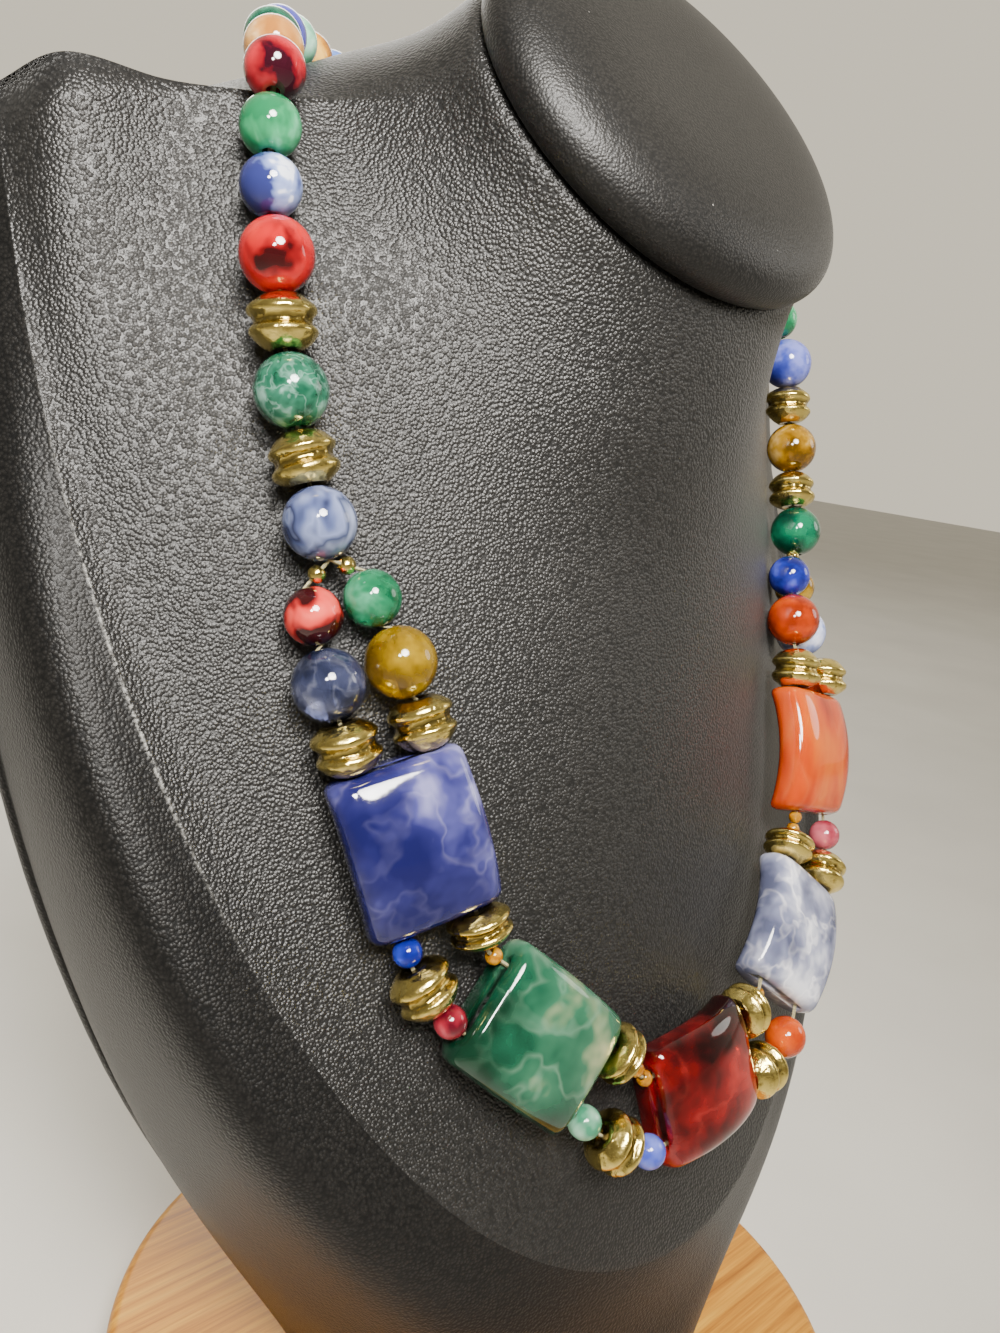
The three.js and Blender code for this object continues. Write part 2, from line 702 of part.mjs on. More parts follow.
function addSide(side) {
  const sign = side === 'right' ? 1 : -1;
  const lastTile = side === 'right' ? TILES.length - 1 : 0;
  let reach = Math.abs(tileMiddles[lastTile]) + TILE_LENGTH / 2;
  const step = (length) => {
    const middle = reach + BEAD_GAP + length / 2;
    reach += BEAD_GAP + length;
    return sign * middle;
  };
  const ofSide = (row) => row[1] === side;
  const inward = { inner: 1, outer: -1 };
  step(SPACER_LENGTH);
  reach += PAIRS[side].run;
  for (const strand of ['inner', 'outer']) {
    addTileSpacer(`spacer_${side}_pair_${strand}`, lastTile, strand, sign, SPACER_LENGTH);
  }
  for (const [rows, diameter] of [[PAIR_BEADS, LARGE_BEAD], [SMALLER_PAIR_BEADS, PAIR_BEAD]]) {
    const length = step(diameter);
    for (const [name, , strand, colour] of rows.filter(ofSide)) {
      const offset = inward[strand] * pairOffset(diameter) + PAIRS[side].inward;
      addStrandBead(name, length, offset, PAIRS[side].standOff, strand, diameter, colour);
    }
  }
  const splitAt = step(SPLIT_RUN);
  SINGLE_BEADS.filter(ofSide).forEach(([name, , colour], i) => {
    if (i > 0) {
      addStrandSpacer(`spacer_${side}_single_${i}`, step(SPACER_LENGTH));
    }
    const ends = { inner: outermost(strandStops.inner, sign), outer: outermost(strandStops.outer, sign) };
    const length = step(LARGE_BEAD);
    addStrandBead(name, length, 0, 0, 'inner', LARGE_BEAD, colour);
    if (i === 0) {
      joinStrands(side, sign, ends, splitAt, length);
    }
  });
  return reach;
}

// Both strands run to the mouth of the first single bead, and the outer one ends in its bore
function joinStrands(side, sign, ends, splitAt, length) {
  const boreEnds = strandStops.inner.slice(-2);
  const junction = boreEnds[sign > 0 ? 0 : 1].point;
  const inside = boreEnds[0].point.clone().lerp(boreEnds[1].point, 0.5);
  const { out } = frameAt(splitAt);
  for (const strand of ['inner', 'outer']) {
    addSplitBead(`split_bead_${side}_${strand}`, strand, ends[strand].point, junction, out, splitAt);
  }
  strandStops.outer.push({ place: length - sign, point: junction }, { place: length, point: inside });
}

// Neck strings: round beads fused with the thread they hang on, from the last large bead
// to the clasp behind the neck
function neckString(side, reach) {
  const sign = side === 'right' ? 1 : -1;
  const room = loopLength / 2 - CLASP_LENGTH / 2 - BEAD_GAP - reach;
  const pitch = NECK_BEAD - BEAD_GAP;
  const count = Math.floor((room - BEAD_GAP) / pitch);
  const spread = (room - BEAD_GAP) / count;
  const centres = [];
  for (let i = 0; i < count; i += 1) {
    const length = sign * (reach + BEAD_GAP + spread * (i + 0.5));
    centres.push(seat(strandFrame(length, 0), roundSupport(NECK_BEAD)).position);
  }
  const beads = centres.map((centre) => {
    const bead = new THREE.SphereGeometry((spread - BEAD_GAP / 2) / 2, SMALL_BEAD_SIDES, SMALL_BEAD_ROWS);
    return toSolid(bead.translate(centre.x, centre.y, centre.z));
  });
  const solid = beads.reduce((joined, bead) => joined.add(bead), threadAlong(centres));
  addMesh(`neck_string_${side}`, toGeometry(solid), NECK_COLOURS[side], 0.2, 0);
}

// A thin thread that runs straight from one point to the next
function threadAlong(points) {
  const rings = points.map((point, i) => {
    const ahead = points[Math.min(i + 1, points.length - 1)];
    const behind = points[Math.max(i - 1, 0)];
    const along = ahead.clone().sub(behind).normalize();
    const across = new THREE.Vector3(0, 1, 0).cross(along).normalize();
    const upward = along.clone().cross(across);
    const ring = [];
    for (let side = 0; side < THREAD_SIDES; side += 1) {
      const turn = (2 * Math.PI * side) / THREAD_SIDES;
      ring.push(point.clone()
        .addScaledVector(across, THREAD_RADIUS * Math.cos(turn))
        .addScaledVector(upward, THREAD_RADIUS * Math.sin(turn)));
    }
    return ring;
  });
  return toSolid(loftRings(rings));
}

// The thread of both strands, which passes through every bore and meets in the single beads
function addThread() {
  const [inner, outer] = Object.values(strandStops).map((stops) => (
    threadAlong(stops.sort((a, b) => a.place - b.place).map((stop) => stop.point))
  ));
  addMesh('thread', toGeometry(inner.add(outer)), THREAD_COLOUR, 0.8, 0);
}

// Half the clasp's outline: shares of the half length from the middle and of the radius
const CLASP_OUTLINE = [
  // along, radius
  [0.70, 1.00],
  [1.00, 0.60],
  [1.00, 0.00],
];

function addClasp() {
  const half = CLASP_LENGTH / 2;
  const radius = CLASP_DIAMETER / 2;
  const toPoint = (sign) => ([along, share]) => new THREE.Vector2(radius * share, sign * along * half);
  const profile = [...[...CLASP_OUTLINE].reverse().map(toPoint(-1)), ...CLASP_OUTLINE.map(toPoint(1))];
  const geometry = new THREE.LatheGeometry(profile, BEAD_SIDES);
  geometry.rotateZ(-Math.PI / 2);
  const shoulder = CLASP_OUTLINE[0][0] * half;
  const supports = [-shoulder, 0, shoulder].map((x) => ({ point: new THREE.Vector3(x, 0, 0), radius }));
  const frame = seat(frameAt(loopLength / 2), supports);
  placeOnFrame(addMesh('clasp', geometry, GOLD, 0.3, 1), frame);
}

baseDisc();
addMesh('bust_body', bustBody(), LEATHER, 0.6, 0);
neckCap();
addTiles();
for (let gap = 1; gap < TILES.length; gap += 1) {
  addGapRow(gap, 'outer');
  addGapRow(gap, 'inner');
}
for (const side of ['left', 'right']) {
  const reach = addSide(side);
  neckString(side, reach);
}
addThread();
addClasp();

export default group;
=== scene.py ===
"""Looks of a two-strand beaded necklace on a leather neck bust with a round wooden base."""

import math
import random

import bpy
import numpy as np
from mathutils import Matrix, Vector


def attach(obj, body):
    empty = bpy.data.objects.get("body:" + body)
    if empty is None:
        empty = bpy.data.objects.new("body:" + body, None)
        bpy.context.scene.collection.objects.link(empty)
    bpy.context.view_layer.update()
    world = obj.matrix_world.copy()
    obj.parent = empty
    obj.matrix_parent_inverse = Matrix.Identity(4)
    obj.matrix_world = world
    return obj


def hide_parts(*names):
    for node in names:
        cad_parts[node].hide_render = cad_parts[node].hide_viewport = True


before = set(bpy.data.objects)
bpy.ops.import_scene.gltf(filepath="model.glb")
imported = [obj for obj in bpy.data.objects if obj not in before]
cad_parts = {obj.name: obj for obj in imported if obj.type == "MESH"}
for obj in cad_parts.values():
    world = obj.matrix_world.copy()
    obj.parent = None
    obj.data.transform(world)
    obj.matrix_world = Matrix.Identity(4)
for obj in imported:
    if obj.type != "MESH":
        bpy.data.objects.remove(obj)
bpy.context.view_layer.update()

MM = 0.001

# Sizes that the solids use too, in millimetres, but CAP_TILT in degrees, CAP_PLACE in shares of
# BODY_DEPTH and BODY_HEIGHT, and CAP_SQUARENESS a power
BASE_RADIUS = 71.5
BASE_THICKNESS = 15
BODY_HEIGHT = 240
BODY_DEPTH = 110
CHEST_HALF_WIDTH = 91
SEAT_GAP = 0.3
CAP_HALF_WIDTH = 38
CAP_HALF_LENGTH = 31.6
CAP_THICKNESS = 9
CAP_OVERHANG = 0.8
CAP_TILT = 52
CAP_PLACE = {"y": -0.038, "z": 0.928}
CAP_SEAM = 0.6
CAP_SQUARENESS = 4.6
TILE_LENGTH = 23.2
TILE_WIDTH = 19.8
TILE_THICKNESS = 7.6
TILE_BOW = 2.3
STRAND_SPACING = 11
LARGE_BEAD = 10
NECK_BEAD = 8.2
BEAD_GAP = 0.3
BORE_RADIUS = 0.9
SMALL_BORE_RADIUS = 0.6
THREAD_RADIUS = 0.3
CLASP_LENGTH = 13
THREAD_HEIGHT = LARGE_BEAD / 2 + SEAT_GAP
SINK_LIMIT = 1.3

# What lies on the centre line on each side of the red tile's middle, up to the neck string:
# the gaps between tiles, and the bare thread before the pairs of beads
TILE_GAPS = {"left": (15.6, 13.2), "right": (13.8, 15.4)}
PAIR_RUN = {"left": 0, "right": 1.2}
PAIR_BEAD = 8
SPLIT_RUN = 1.8
SPACER_LENGTH = 7
SINGLE_BEADS = 3

# Camera: its place in millimetres, the directions to its right and up, lens and sensor height
CAMERA_PLACE = (-146.08, -123.95, 191.35)
CAMERA_RIGHT = Vector((0.714242, -0.686994, 0.133778))
CAMERA_UP = Vector((0.062030, 0.252520, 0.965601))
CAMERA_BACK = CAMERA_RIGHT.cross(CAMERA_UP)
CAMERA_LENS = 30.19
SENSOR = 36

# Rings of the bust from throat to foot. Y columns are shares of BODY_DEPTH, X of
# CHEST_HALF_WIDTH and Z of BODY_HEIGHT over the base. The bends say how a ring turns between
# its front, side and back.
BUST_RINGS = [
    # name, front y, front z, side x, side y, side z, back y, back z, front bend, back bend, rise
    ("throat", -0.170, 0.780, 0.450, 0.080, 0.902, 0.290, 0.985, 1.10, 1.00, 1.00),
    ("nape", -0.163, 0.730, 0.540, 0.173, 0.894, 0.413, 0.964, 1.25, 0.95, 1.10),
    ("flare", -0.152, 0.643, 0.665, 0.210, 0.888, 0.495, 0.925, 1.30, 0.95, 1.15),
    ("yoke", -0.205, 0.518, 0.770, 0.242, 0.884, 0.570, 0.850, 1.38, 1.00, 1.00),
    ("breast", -0.282, 0.350, 0.905, 0.265, 0.884, 0.613, 0.698, 1.30, 1.15, 0.82),
    ("crease", -0.378, 0.186, 0.962, 0.345, 0.866, 0.620, 0.525, 0.97, 1.40, 0.85),
    ("band", -0.368, 0.125, 1.000, 0.312, 0.608, 0.555, 0.375, 0.80, 1.50, 1.15),
    ("waist", -0.377, 0.070, 0.797, 0.235, 0.304, 0.428, 0.188, 1.40, 1.60, 1.32),
    ("foot", -0.380, 0.000, 0.385, 0.090, 0.000, 0.232, 0.000, 1.80, 1.60, 1.00),
]
CREASE_RING = 6

# Route of the necklace over half of the bust: ring number and degrees round from the front
NECKLACE_ROUTE = [
    (5.32, 0), (5.29, 8), (5.21, 16), (5.13, 23), (5.06, 29), (4.9, 34), (4.68, 37.5), (4.4, 44),
    (4.08, 53), (3.75, 60), (3.36, 67), (3.0, 77), (2.62, 91), (2.4, 108), (2.42, 127),
    (2.65, 147), (2.85, 165), (2.9, 180),
]


def place_camera():
    """The photograph's view."""
    data = bpy.data.cameras.new("camera")
    data.sensor_fit = "VERTICAL"
    data.sensor_height = SENSOR
    data.sensor_width = SENSOR
    data.lens = CAMERA_LENS
    data.clip_start = 0.01
    camera = bpy.data.objects.new("camera", data)
    axes = Matrix((CAMERA_RIGHT, CAMERA_UP, CAMERA_BACK)).transposed().to_4x4()
    camera.matrix_world = Matrix.Translation(Vector(CAMERA_PLACE) * MM) @ axes
    bpy.context.scene.collection.objects.link(camera)
    bpy.context.scene.camera = camera


place_camera()


# Colours and node helpers


def linear(code):
    """A colour from its web code, in linear light."""
    parts = [int(code[i : i + 2], 16) / 255 for i in (0, 2, 4)]
    value = [c / 12.92 if c <= 0.04045 else ((c + 0.055) / 1.055) ** 2.4 for c in parts]
    return (*value, 1.0)


def set_spans(map_range, source, target):
    for key, value in zip(("From Min", "From Max", "To Min", "To Max"), (*source, *target)):
        map_range.inputs[key].default_value = value


class Nodes:
    """A short way to write a material's node tree."""

    def __init__(self, name):
        self.material = bpy.data.materials.new(name)
        self.material.use_nodes = True
        self.tree = self.material.node_tree
        self.shader = self.tree.nodes["Principled BSDF"]

    def add(self, kind, settings=None, **inputs):
        node = self.tree.nodes.new(kind)
        for key, value in (settings or {}).items():
            setattr(node, key, value)
        for key, value in inputs.items():
            self.put(node, key.replace("_", " "), value)
        return node

    def put(self, node, key, value):
        socket = node.inputs[int(key)] if key.isdigit() else node.inputs[key]
        if isinstance(value, bpy.types.NodeSocket):
            self.tree.links.new(value, socket)
        else:
            socket.default_value = value

    def shade(self, **values):
        for key, value in values.items():
            self.put(self.shader, key.replace("_", " "), value)

    def place(self, turn=(0, 0, 0), shift=(0, 0, 0), stretch=(1, 1, 1)):
        """Object coordinates in millimetres, turned, shifted and stretched."""
        coordinates = self.add("ShaderNodeTexCoord").outputs["Object"]
        mapping = self.add(
            "ShaderNodeMapping",
            Vector=coordinates,
            Location=shift,
            Rotation=turn,
            Scale=tuple(share / MM for share in stretch),
        )
        return mapping.outputs["Vector"]

    def noise(self, vector, scale, detail=4.0, roughness=0.55):
        node = self.add(
            "ShaderNodeTexNoise", Vector=vector, Scale=scale, Detail=detail, Roughness=roughness
        )
        return node.outputs["Fac"]

    def cells(self, vector, scale, feature="F1"):
        """Distance to the nearest of scattered points."""
        node = self.add("ShaderNodeTexVoronoi", {"feature": feature}, Vector=vector, Scale=scale)
        return node.outputs["Distance"]

    def attribute(self, name):
        return self.add("ShaderNodeAttribute", {"attribute_name": name}).outputs["Fac"]

    def warp(self, vector, scale, strength):
        """Moves coordinates about by a coloured noise, for folds and swirls."""
        noise = self.add("ShaderNodeTexNoise", Vector=vector, Scale=scale, Detail=2.0)
        centred = self.vector_math("SUBTRACT", noise.outputs["Color"], (0.5, 0.5, 0.5))
        scaled = self.vector_math("SCALE", centred.outputs[0])
        scaled.inputs["Scale"].default_value = strength
        return self.vector_math("ADD", vector, scaled.outputs[0]).outputs[0]

    def vector_math(self, operation, first, second=(0.0, 0.0, 0.0)):
        node = self.add("ShaderNodeVectorMath", {"operation": operation})
        self.put(node, "0", first)
        self.put(node, "1", second)
        return node

    def ramp(self, factor, stops):
        """A colour ramp through stops of (position, web code)."""
        node = self.add("ShaderNodeValToRGB", Fac=factor)
        ramp = node.color_ramp
        while len(ramp.elements) < len(stops):
            ramp.elements.new(0.5)
        for element, (position, colour) in zip(ramp.elements, stops):
            element.position = position
            element.color = linear(colour)
        return node.outputs["Color"]

    def remap(self, value, source, target):
        """Maps the span source onto the span target, and holds the ends."""
        node = self.add("ShaderNodeMapRange", Value=value)
        set_spans(node, source, target)
        return node.outputs["Result"]

    def math(self, operation, first, second=0.0):
        node = self.add("ShaderNodeMath", {"operation": operation})
        self.put(node, "0", first)
        self.put(node, "1", second)
        return node.outputs[0]

    def plus(self, first, second, share):
        """The first value plus a share of the second."""
        return self.math("ADD", first, self.math("MULTIPLY", second, share))

    def mix(self, factor, first, second, blend="MIX"):
        node = self.add("ShaderNodeMix", {"data_type": "RGBA", "blend_type": blend})
        self.put(node, "0", factor)
        self.put(node, "6", first)
        self.put(node, "7", second)
        return node.outputs[2]

    def bump(self, height, strength, distance):
        """Raises the surface by height, distance millimetres for each whole step."""
        node = self.add("ShaderNodeBump", Height=height)
        node.inputs["Strength"].default_value = strength
        node.inputs["Distance"].default_value = distance * MM
        self.put(self.shader, "Normal", node.outputs["Normal"])


# Materials


def leather_material(name, cell, depth, shine):
    """Black pebbled leather with specks of dust, pale where the attribute worn says so. cell is
    a pebble's size and depth its height, in millimetres."""
    nodes = Nodes(name)
    place = nodes.warp(nodes.place(), scale=0.4, strength=0.3)
    pebble = nodes.remap(nodes.cells(place, 1 / cell), (0.0, 0.75), (1.0, 0.0))
    fine = nodes.noise(place, 3.0 / cell, detail=3.0)
    nodes.bump(nodes.plus(pebble, fine, 0.22), strength=0.9, distance=depth)
    broad = nodes.noise(nodes.place(), 0.035, detail=2.0)
    tone = nodes.plus(nodes.math("MULTIPLY", pebble, 0.6), broad, 0.4)
    colour = nodes.ramp(tone, [(0.2, "0b0b0b"), (0.55, "171615"), (0.9, "242321")])
    speckle = nodes.remap(nodes.noise(place, 1.4), (0.42, 0.6), (0.0, 1.0))
    worn = nodes.math("MULTIPLY", nodes.attribute("worn"), speckle)
    dust = nodes.remap(nodes.cells(nodes.place(), 0.11), (0.01, 0.02), (0.7, 0.0))
    nodes.shade(
        Base_Color=nodes.mix(nodes.math("MAXIMUM", worn, dust), colour, linear("a5a49f")),
        Roughness=nodes.remap(fine, (0.0, 1.0), (0.36, 0.52)),
        Specular_IOR_Level=shine,
        Sheen_Weight=0.04,
        Sheen_Roughness=0.4,
    )
    return nodes.material


def wood_material():
    """Light varnished wood whose grain runs askew through the base."""
    nodes = Nodes("wood")
    place = nodes.place(turn=(0, 0, math.radians(-52)), stretch=(0.03, 1.0, 1.0))
    grain = nodes.noise(nodes.warp(place, 0.2, 1.0), 0.55, detail=6.0, roughness=0.6)
    streak = nodes.noise(place, 1.8, detail=3.0)
    colour = nodes.ramp(
        grain, [(0.3, "985c08"), (0.45, "bc7e16"), (0.55, "cc9022"), (0.7, "dca836")]
    )
    lines = nodes.ramp(streak, [(0.35, "b8842c"), (0.6, "ffeeac")])
    nodes.shade(
        Base_Color=nodes.mix(0.35, colour, lines, "MULTIPLY"),
        Roughness=nodes.remap(streak, (0.0, 1.0), (0.34, 0.5)),
        Coat_Weight=0.05,
        Coat_Roughness=0.3,
    )
    nodes.bump(streak, strength=0.15, distance=0.12)
    return nodes.material


def gold_material():
    """Hammered old gold, dark in patches and where the attribute groove says so."""
    nodes = Nodes("antique_gold")
    place = nodes.place()
    patch = nodes.noise(place, 0.6)
    stain = nodes.remap(patch, (0.55, 0.72), (0.0, 1.0))
    dark = nodes.math("MINIMUM", nodes.plus(nodes.attribute("groove"), stain, 0.6), 1.0)
    nodes.shade(
        Base_Color=nodes.mix(dark, linear("efd77c"), linear("6e541a")),
        Metallic=1.0,
        Roughness=nodes.remap(patch, (0.35, 0.7), (0.1, 0.3)),
    )
    hammered = nodes.cells(nodes.warp(place, 0.6, 0.8), 0.75, "SMOOTH_F1")
    rough = nodes.noise(place, 2.5, detail=3.0)
    nodes.bump(nodes.plus(hammered, rough, 0.25), strength=0.5, distance=0.35)
    return nodes.material


def thread_material():
    """Twisted pale thread."""
    nodes = Nodes("thread")
    twist = nodes.noise(nodes.place(), 6.0, detail=2.0)
    nodes.shade(
        Base_Color=nodes.ramp(twist, [(0.3, "6c6546"), (0.7, "b7ae86")]),
        Roughness=0.7,
    )
    nodes.bump(twist, strength=0.4, distance=0.1)
    return nodes.material


def marbled_material(
    name, stops, veins=None, scale=0.16, swirl=3.0, seed=0, clear=0.0, glow=0.08,
    stretch=(1, 1, 1), lean=None,
):
    """Glossy plastic with flowing colours. stops are the ramp's colours, veins the colour and
    amount of fine pale threads, scale and swirl how small and how folded the clouds are, clear
    how much light passes, glow how much scatters inside, and lean how far the stops shift over
    each 10 mm. seed varies the pattern, and stretch under 1 lengthens it."""
    nodes = Nodes(name)
    turn = (seed * 1.3, seed * 0.7, seed * 2.1)
    shift = (seed * 7.3, seed * 3.1, seed * 5.7)
    place = nodes.place(turn, shift, stretch)
    cloud = nodes.noise(nodes.warp(place, scale * 0.9, swirl), scale, detail=3.0, roughness=0.5)
    if lean:
        local = nodes.add("ShaderNodeTexCoord").outputs["Object"]
        slope = nodes.vector_math("DOT_PRODUCT", local, tuple(share / (10 * MM) for share in lean))
        cloud = nodes.math("ADD", cloud, slope.outputs["Value"])
    colour = nodes.ramp(cloud, stops)
    if veins:
        vein_colour, amount = veins
        folds = nodes.warp(place, scale * 1.6, swirl * 1.2)
        fold = nodes.noise(folds, scale * 1.3, detail=2.0)
        ridge = nodes.math("ABSOLUTE", nodes.math("SUBTRACT", fold, 0.5))
        line = nodes.remap(ridge, (0.0, 0.05), (amount, 0.0))
        soft = nodes.math("MULTIPLY", line, nodes.remap(cloud, (0.42, 0.6), (0.2, 1.0)))
        colour = nodes.mix(soft, colour, linear(vein_colour))
    nodes.shade(
        Base_Color=colour,
        Roughness=0.07,
        IOR=1.49,
        Transmission_Weight=clear,
        Subsurface_Weight=glow,
        Subsurface_Radius=(1.0, 1.0, 1.0),
        Subsurface_Scale=1.5 * MM,
        Coat_Weight=0.2,
        Coat_Roughness=0.04,
    )
    nodes.bump(nodes.noise(place, 0.35, detail=2.0), strength=0.05, distance=0.5)
    return nodes.material


GOLD = gold_material()
LEATHER = leather_material("leather", 0.5, 0.16, 0.5)
# A less shiny copy of the leather for the band under the crease: its low shine paints shade there
SHADED_BAND_LEATHER = leather_material("band_leather_painted_shade", 0.5, 0.1, 0.2)
CAP_LEATHER = leather_material("cap_leather", 0.42, 0.06, 0.35)
THREAD = thread_material()

# Tiles in the necklace's order from the left, with what marbled_material takes
TILE_LOOKS = {
    "tile_royal_blue_left": dict(
        stops=[(0.34, "141448"), (0.47, "25255c"), (0.58, "464680"), (0.7, "8280b0")],
        veins=("a5a2cc", 0.2), scale=0.1, swirl=5.0, seed=3, clear=0.15, lean=(-0.03, 0.1, 0),
    ),
    "tile_green_left": dict(
        stops=[(0.36, "08301f"), (0.5, "16513a"), (0.66, "356f53"), (0.84, "b0b486")],
        veins=("86ac90", 0.3), scale=0.09, swirl=4.0, seed=12, clear=0.3, lean=(0.05, 0.14, 0),
    ),
    "tile_red_centre": dict(
        stops=[(0.36, "220405"), (0.46, "52060a"), (0.56, "860a0f"), (0.68, "bc221c")],
        veins=("cc4038", 0.3), scale=0.09, swirl=4.0, seed=5, clear=0.45, lean=(0, -0.07, 0),
    ),
    "tile_sky_blue_right": dict(
        stops=[(0.36, "50546e"), (0.46, "777b96"), (0.56, "a2a5ba"), (0.68, "e0e0e8")],
        veins=("f4f2f6", 0.75), scale=0.11, swirl=5.0, seed=7, clear=0.1, glow=0.2,
    ),
    "tile_orange_right": dict(
        stops=[(0.36, "8c2200"), (0.46, "b83600"), (0.56, "d24c00"), (0.7, "e47010")],
        veins=("f09a54", 0.15), scale=0.1, swirl=3.0, seed=9, clear=0.3, glow=0.15,
        stretch=(0.35, 1, 1),
    ),
}

# Round beads, with the same
BEAD_LOOKS = {
    "bead_gap1_blue": dict(stops=[(0.4, "10187c"), (0.6, "2a3dc0")], clear=0.3),
    "bead_gap1_red": dict(stops=[(0.4, "54091a"), (0.5, "8e1c2e"), (0.6, "b8404e")], clear=0.15),
    "bead_gap2_pale_green": dict(stops=[(0.4, "3f8f6c"), (0.6, "a9d8bc")], clear=0.3),
    "bead_gap2_periwinkle": dict(stops=[(0.4, "3c49ac"), (0.6, "7480d4")]),
    "bead_gap3_orange": dict(stops=[(0.4, "a43200"), (0.6, "cc5200")]),
    "bead_gap4_pink": dict(stops=[(0.4, "8c2036"), (0.6, "c4606e")], clear=0.2),
    "bead_ten_left_outer": dict(
        stops=[(0.38, "1a1f33"), (0.48, "2f3552"), (0.58, "4a5070"), (0.68, "8488a4")],
        veins=("a6aac0", 0.4), scale=0.16, clear=0.6, seed=4,
    ),
    "bead_ten_left_inner": dict(
        stops=[(0.38, "644a00"), (0.5, "8f7004"), (0.62, "b08f18")], scale=0.2, clear=0.5, seed=6,
    ),
    "bead_ten_right_outer": dict(
        stops=[(0.38, "4f5f9c"), (0.5, "8290c4"), (0.62, "d2d6ec")], scale=0.16, seed=8,
    ),
    "bead_ten_right_inner": dict(
        stops=[(0.38, "8c2600"), (0.5, "b83a00"), (0.62, "d25404")],
        scale=0.16, clear=0.25, seed=2,
    ),
    "bead_eight_left_outer": dict(
        stops=[(0.42, "2c0a0c"), (0.46, "8a1c1c"), (0.5, "c43832"), (0.6, "d8564a")],
        scale=0.12, swirl=6.0, seed=15,
    ),
    "bead_eight_left_inner": dict(
        stops=[(0.38, "0b5434"), (0.5, "1d7d54"), (0.62, "55ac84")], scale=0.2, clear=0.4, seed=5,
    ),
    "bead_eight_right_outer": dict(
        stops=[(0.38, "5e4202"), (0.5, "8c680a"), (0.62, "b08c28")], scale=0.2, clear=0.3, seed=3,
    ),
    "bead_eight_right_inner": dict(
        stops=[(0.38, "11165e"), (0.5, "20298a"), (0.62, "444fb4")], scale=0.2, seed=1,
    ),
    "bead_ten_left_blue": dict(
        stops=[
            (0.34, "9aa1bc"), (0.41, "434d72"), (0.46, "6a7496"), (0.49, "282d4a"),
            (0.53, "4e5880"), (0.59, "7984aa"), (0.64, "39425f"), (0.74, "98a2c0"),
        ],
        scale=0.13, swirl=3.0, seed=16, clear=0.15, stretch=(0.5, 1, 1),
    ),
    "bead_ten_left_green": dict(
        stops=[(0.38, "0a3022"), (0.48, "154d38"), (0.6, "2f6e56"), (0.72, "84b0a0")],
        veins=("8ab6a6", 0.5), scale=0.24, swirl=4.0, clear=0.25, seed=9,
    ),
    "bead_ten_left_red": dict(
        stops=[(0.33, "2c0508"), (0.38, "760a10"), (0.46, "a81016"), (0.62, "c0221c")],
        scale=0.14, swirl=5.0, seed=13, clear=0.1,
    ),
    "bead_ten_right_emerald": dict(
        stops=[(0.38, "03382a"), (0.5, "066044"), (0.62, "128c62")], scale=0.14, clear=0.5, seed=7,
    ),
    "bead_ten_right_amber": dict(
        stops=[(0.38, "5a3e02"), (0.48, "845c06"), (0.58, "a47a18"), (0.68, "c8a45c")],
        scale=0.18, clear=0.3, seed=10,
    ),
    "bead_ten_right_periwinkle": dict(
        stops=[(0.38, "262e84"), (0.5, "3c48a4"), (0.62, "757dca")], scale=0.18, seed=14,
    ),
}
SEED_LOOK = dict(stops=[(0.4, "a86a00"), (0.6, "dc9c14")], scale=0.6, clear=0.4)

# Neck beads from the last single bead towards the clasp
NECK_LOOKS = {
    "left": [
        "sky_patch", "jade", "ruby", "tan", "moss", "violet", "mint", "amber", "blue", "coral",
    ],
    "right": [
        "jade", "violet", "amber", "ruby", "sky_patch", "moss", "tan", "mint", "blue", "coral",
    ],
}
NECK_STOPS = {
    "sky_patch": [(0.42, "2a2f66"), (0.46, "6474aa"), (0.53, "8f9fd0"), (0.56, "dde2f0")],
    "jade": [(0.38, "176a42"), (0.5, "2f925f"), (0.62, "6cc092")],
    "ruby": [(0.42, "2c0714"), (0.49, "860b1a"), (0.62, "b8222e")],
    "tan": [(0.38, "a3682a"), (0.5, "c48c4a"), (0.62, "e4c490")],
    "moss": [(0.38, "0c3628"), (0.5, "17523e"), (0.62, "347c60")],
    "violet": [(0.38, "262672"), (0.5, "44449c"), (0.62, "7a7cc4")],
    "mint": [(0.38, "559c7c"), (0.5, "84c0a0"), (0.62, "bce0cc")],
    "amber": [(0.38, "824a04"), (0.5, "b87a16"), (0.62, "e0ae50")],
    "blue": [(0.38, "183680"), (0.5, "365aac"), (0.62, "7c9ad4")],
    "coral": [(0.42, "6c1a12"), (0.5, "c04232"), (0.62, "e4806a")],
}


# Meshes


def make_object(name, points, faces, *materials, slots=None, smooth=True, attributes=None):
    """A mesh object from points in millimetres. slots holds the number of a material for each
    face, and each of the attributes a value for each point."""
    mesh = bpy.data.meshes.new(name)
    mesh.from_pydata([tuple(float(c) * MM for c in p) for p in points], [], faces)
    for material in materials:
        mesh.materials.append(material)
    if slots:
        mesh.polygons.foreach_set("material_index", slots)
    mesh.polygons.foreach_set("use_smooth", [smooth] * len(mesh.polygons))
    for key, values in (attributes or {}).items():
        layer = mesh.attributes.new(key, "FLOAT", "POINT")
        layer.data.foreach_set("value", [float(v) for v in values])
    mesh.update()
    piece = bpy.data.objects.new(name, mesh)
    bpy.context.scene.collection.objects.link(piece)
    return piece


def finish_piece(piece, node):
    """The piece stands for a node: it rides on the body, and the node is hidden."""
    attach(piece, "root")
    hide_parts(node)


def ring_faces(rows, count, closed_rows=False):
    """Quads between rings of count points. closed_rows joins the last ring to the first."""
    faces = []
    for row in range(rows if closed_rows else rows - 1):
        following = (row + 1) % rows
        for i in range(count):
            j = (i + 1) % count
            faces.append(
                (row * count + i, row * count + j, following * count + j, following * count + i)
            )
    return faces


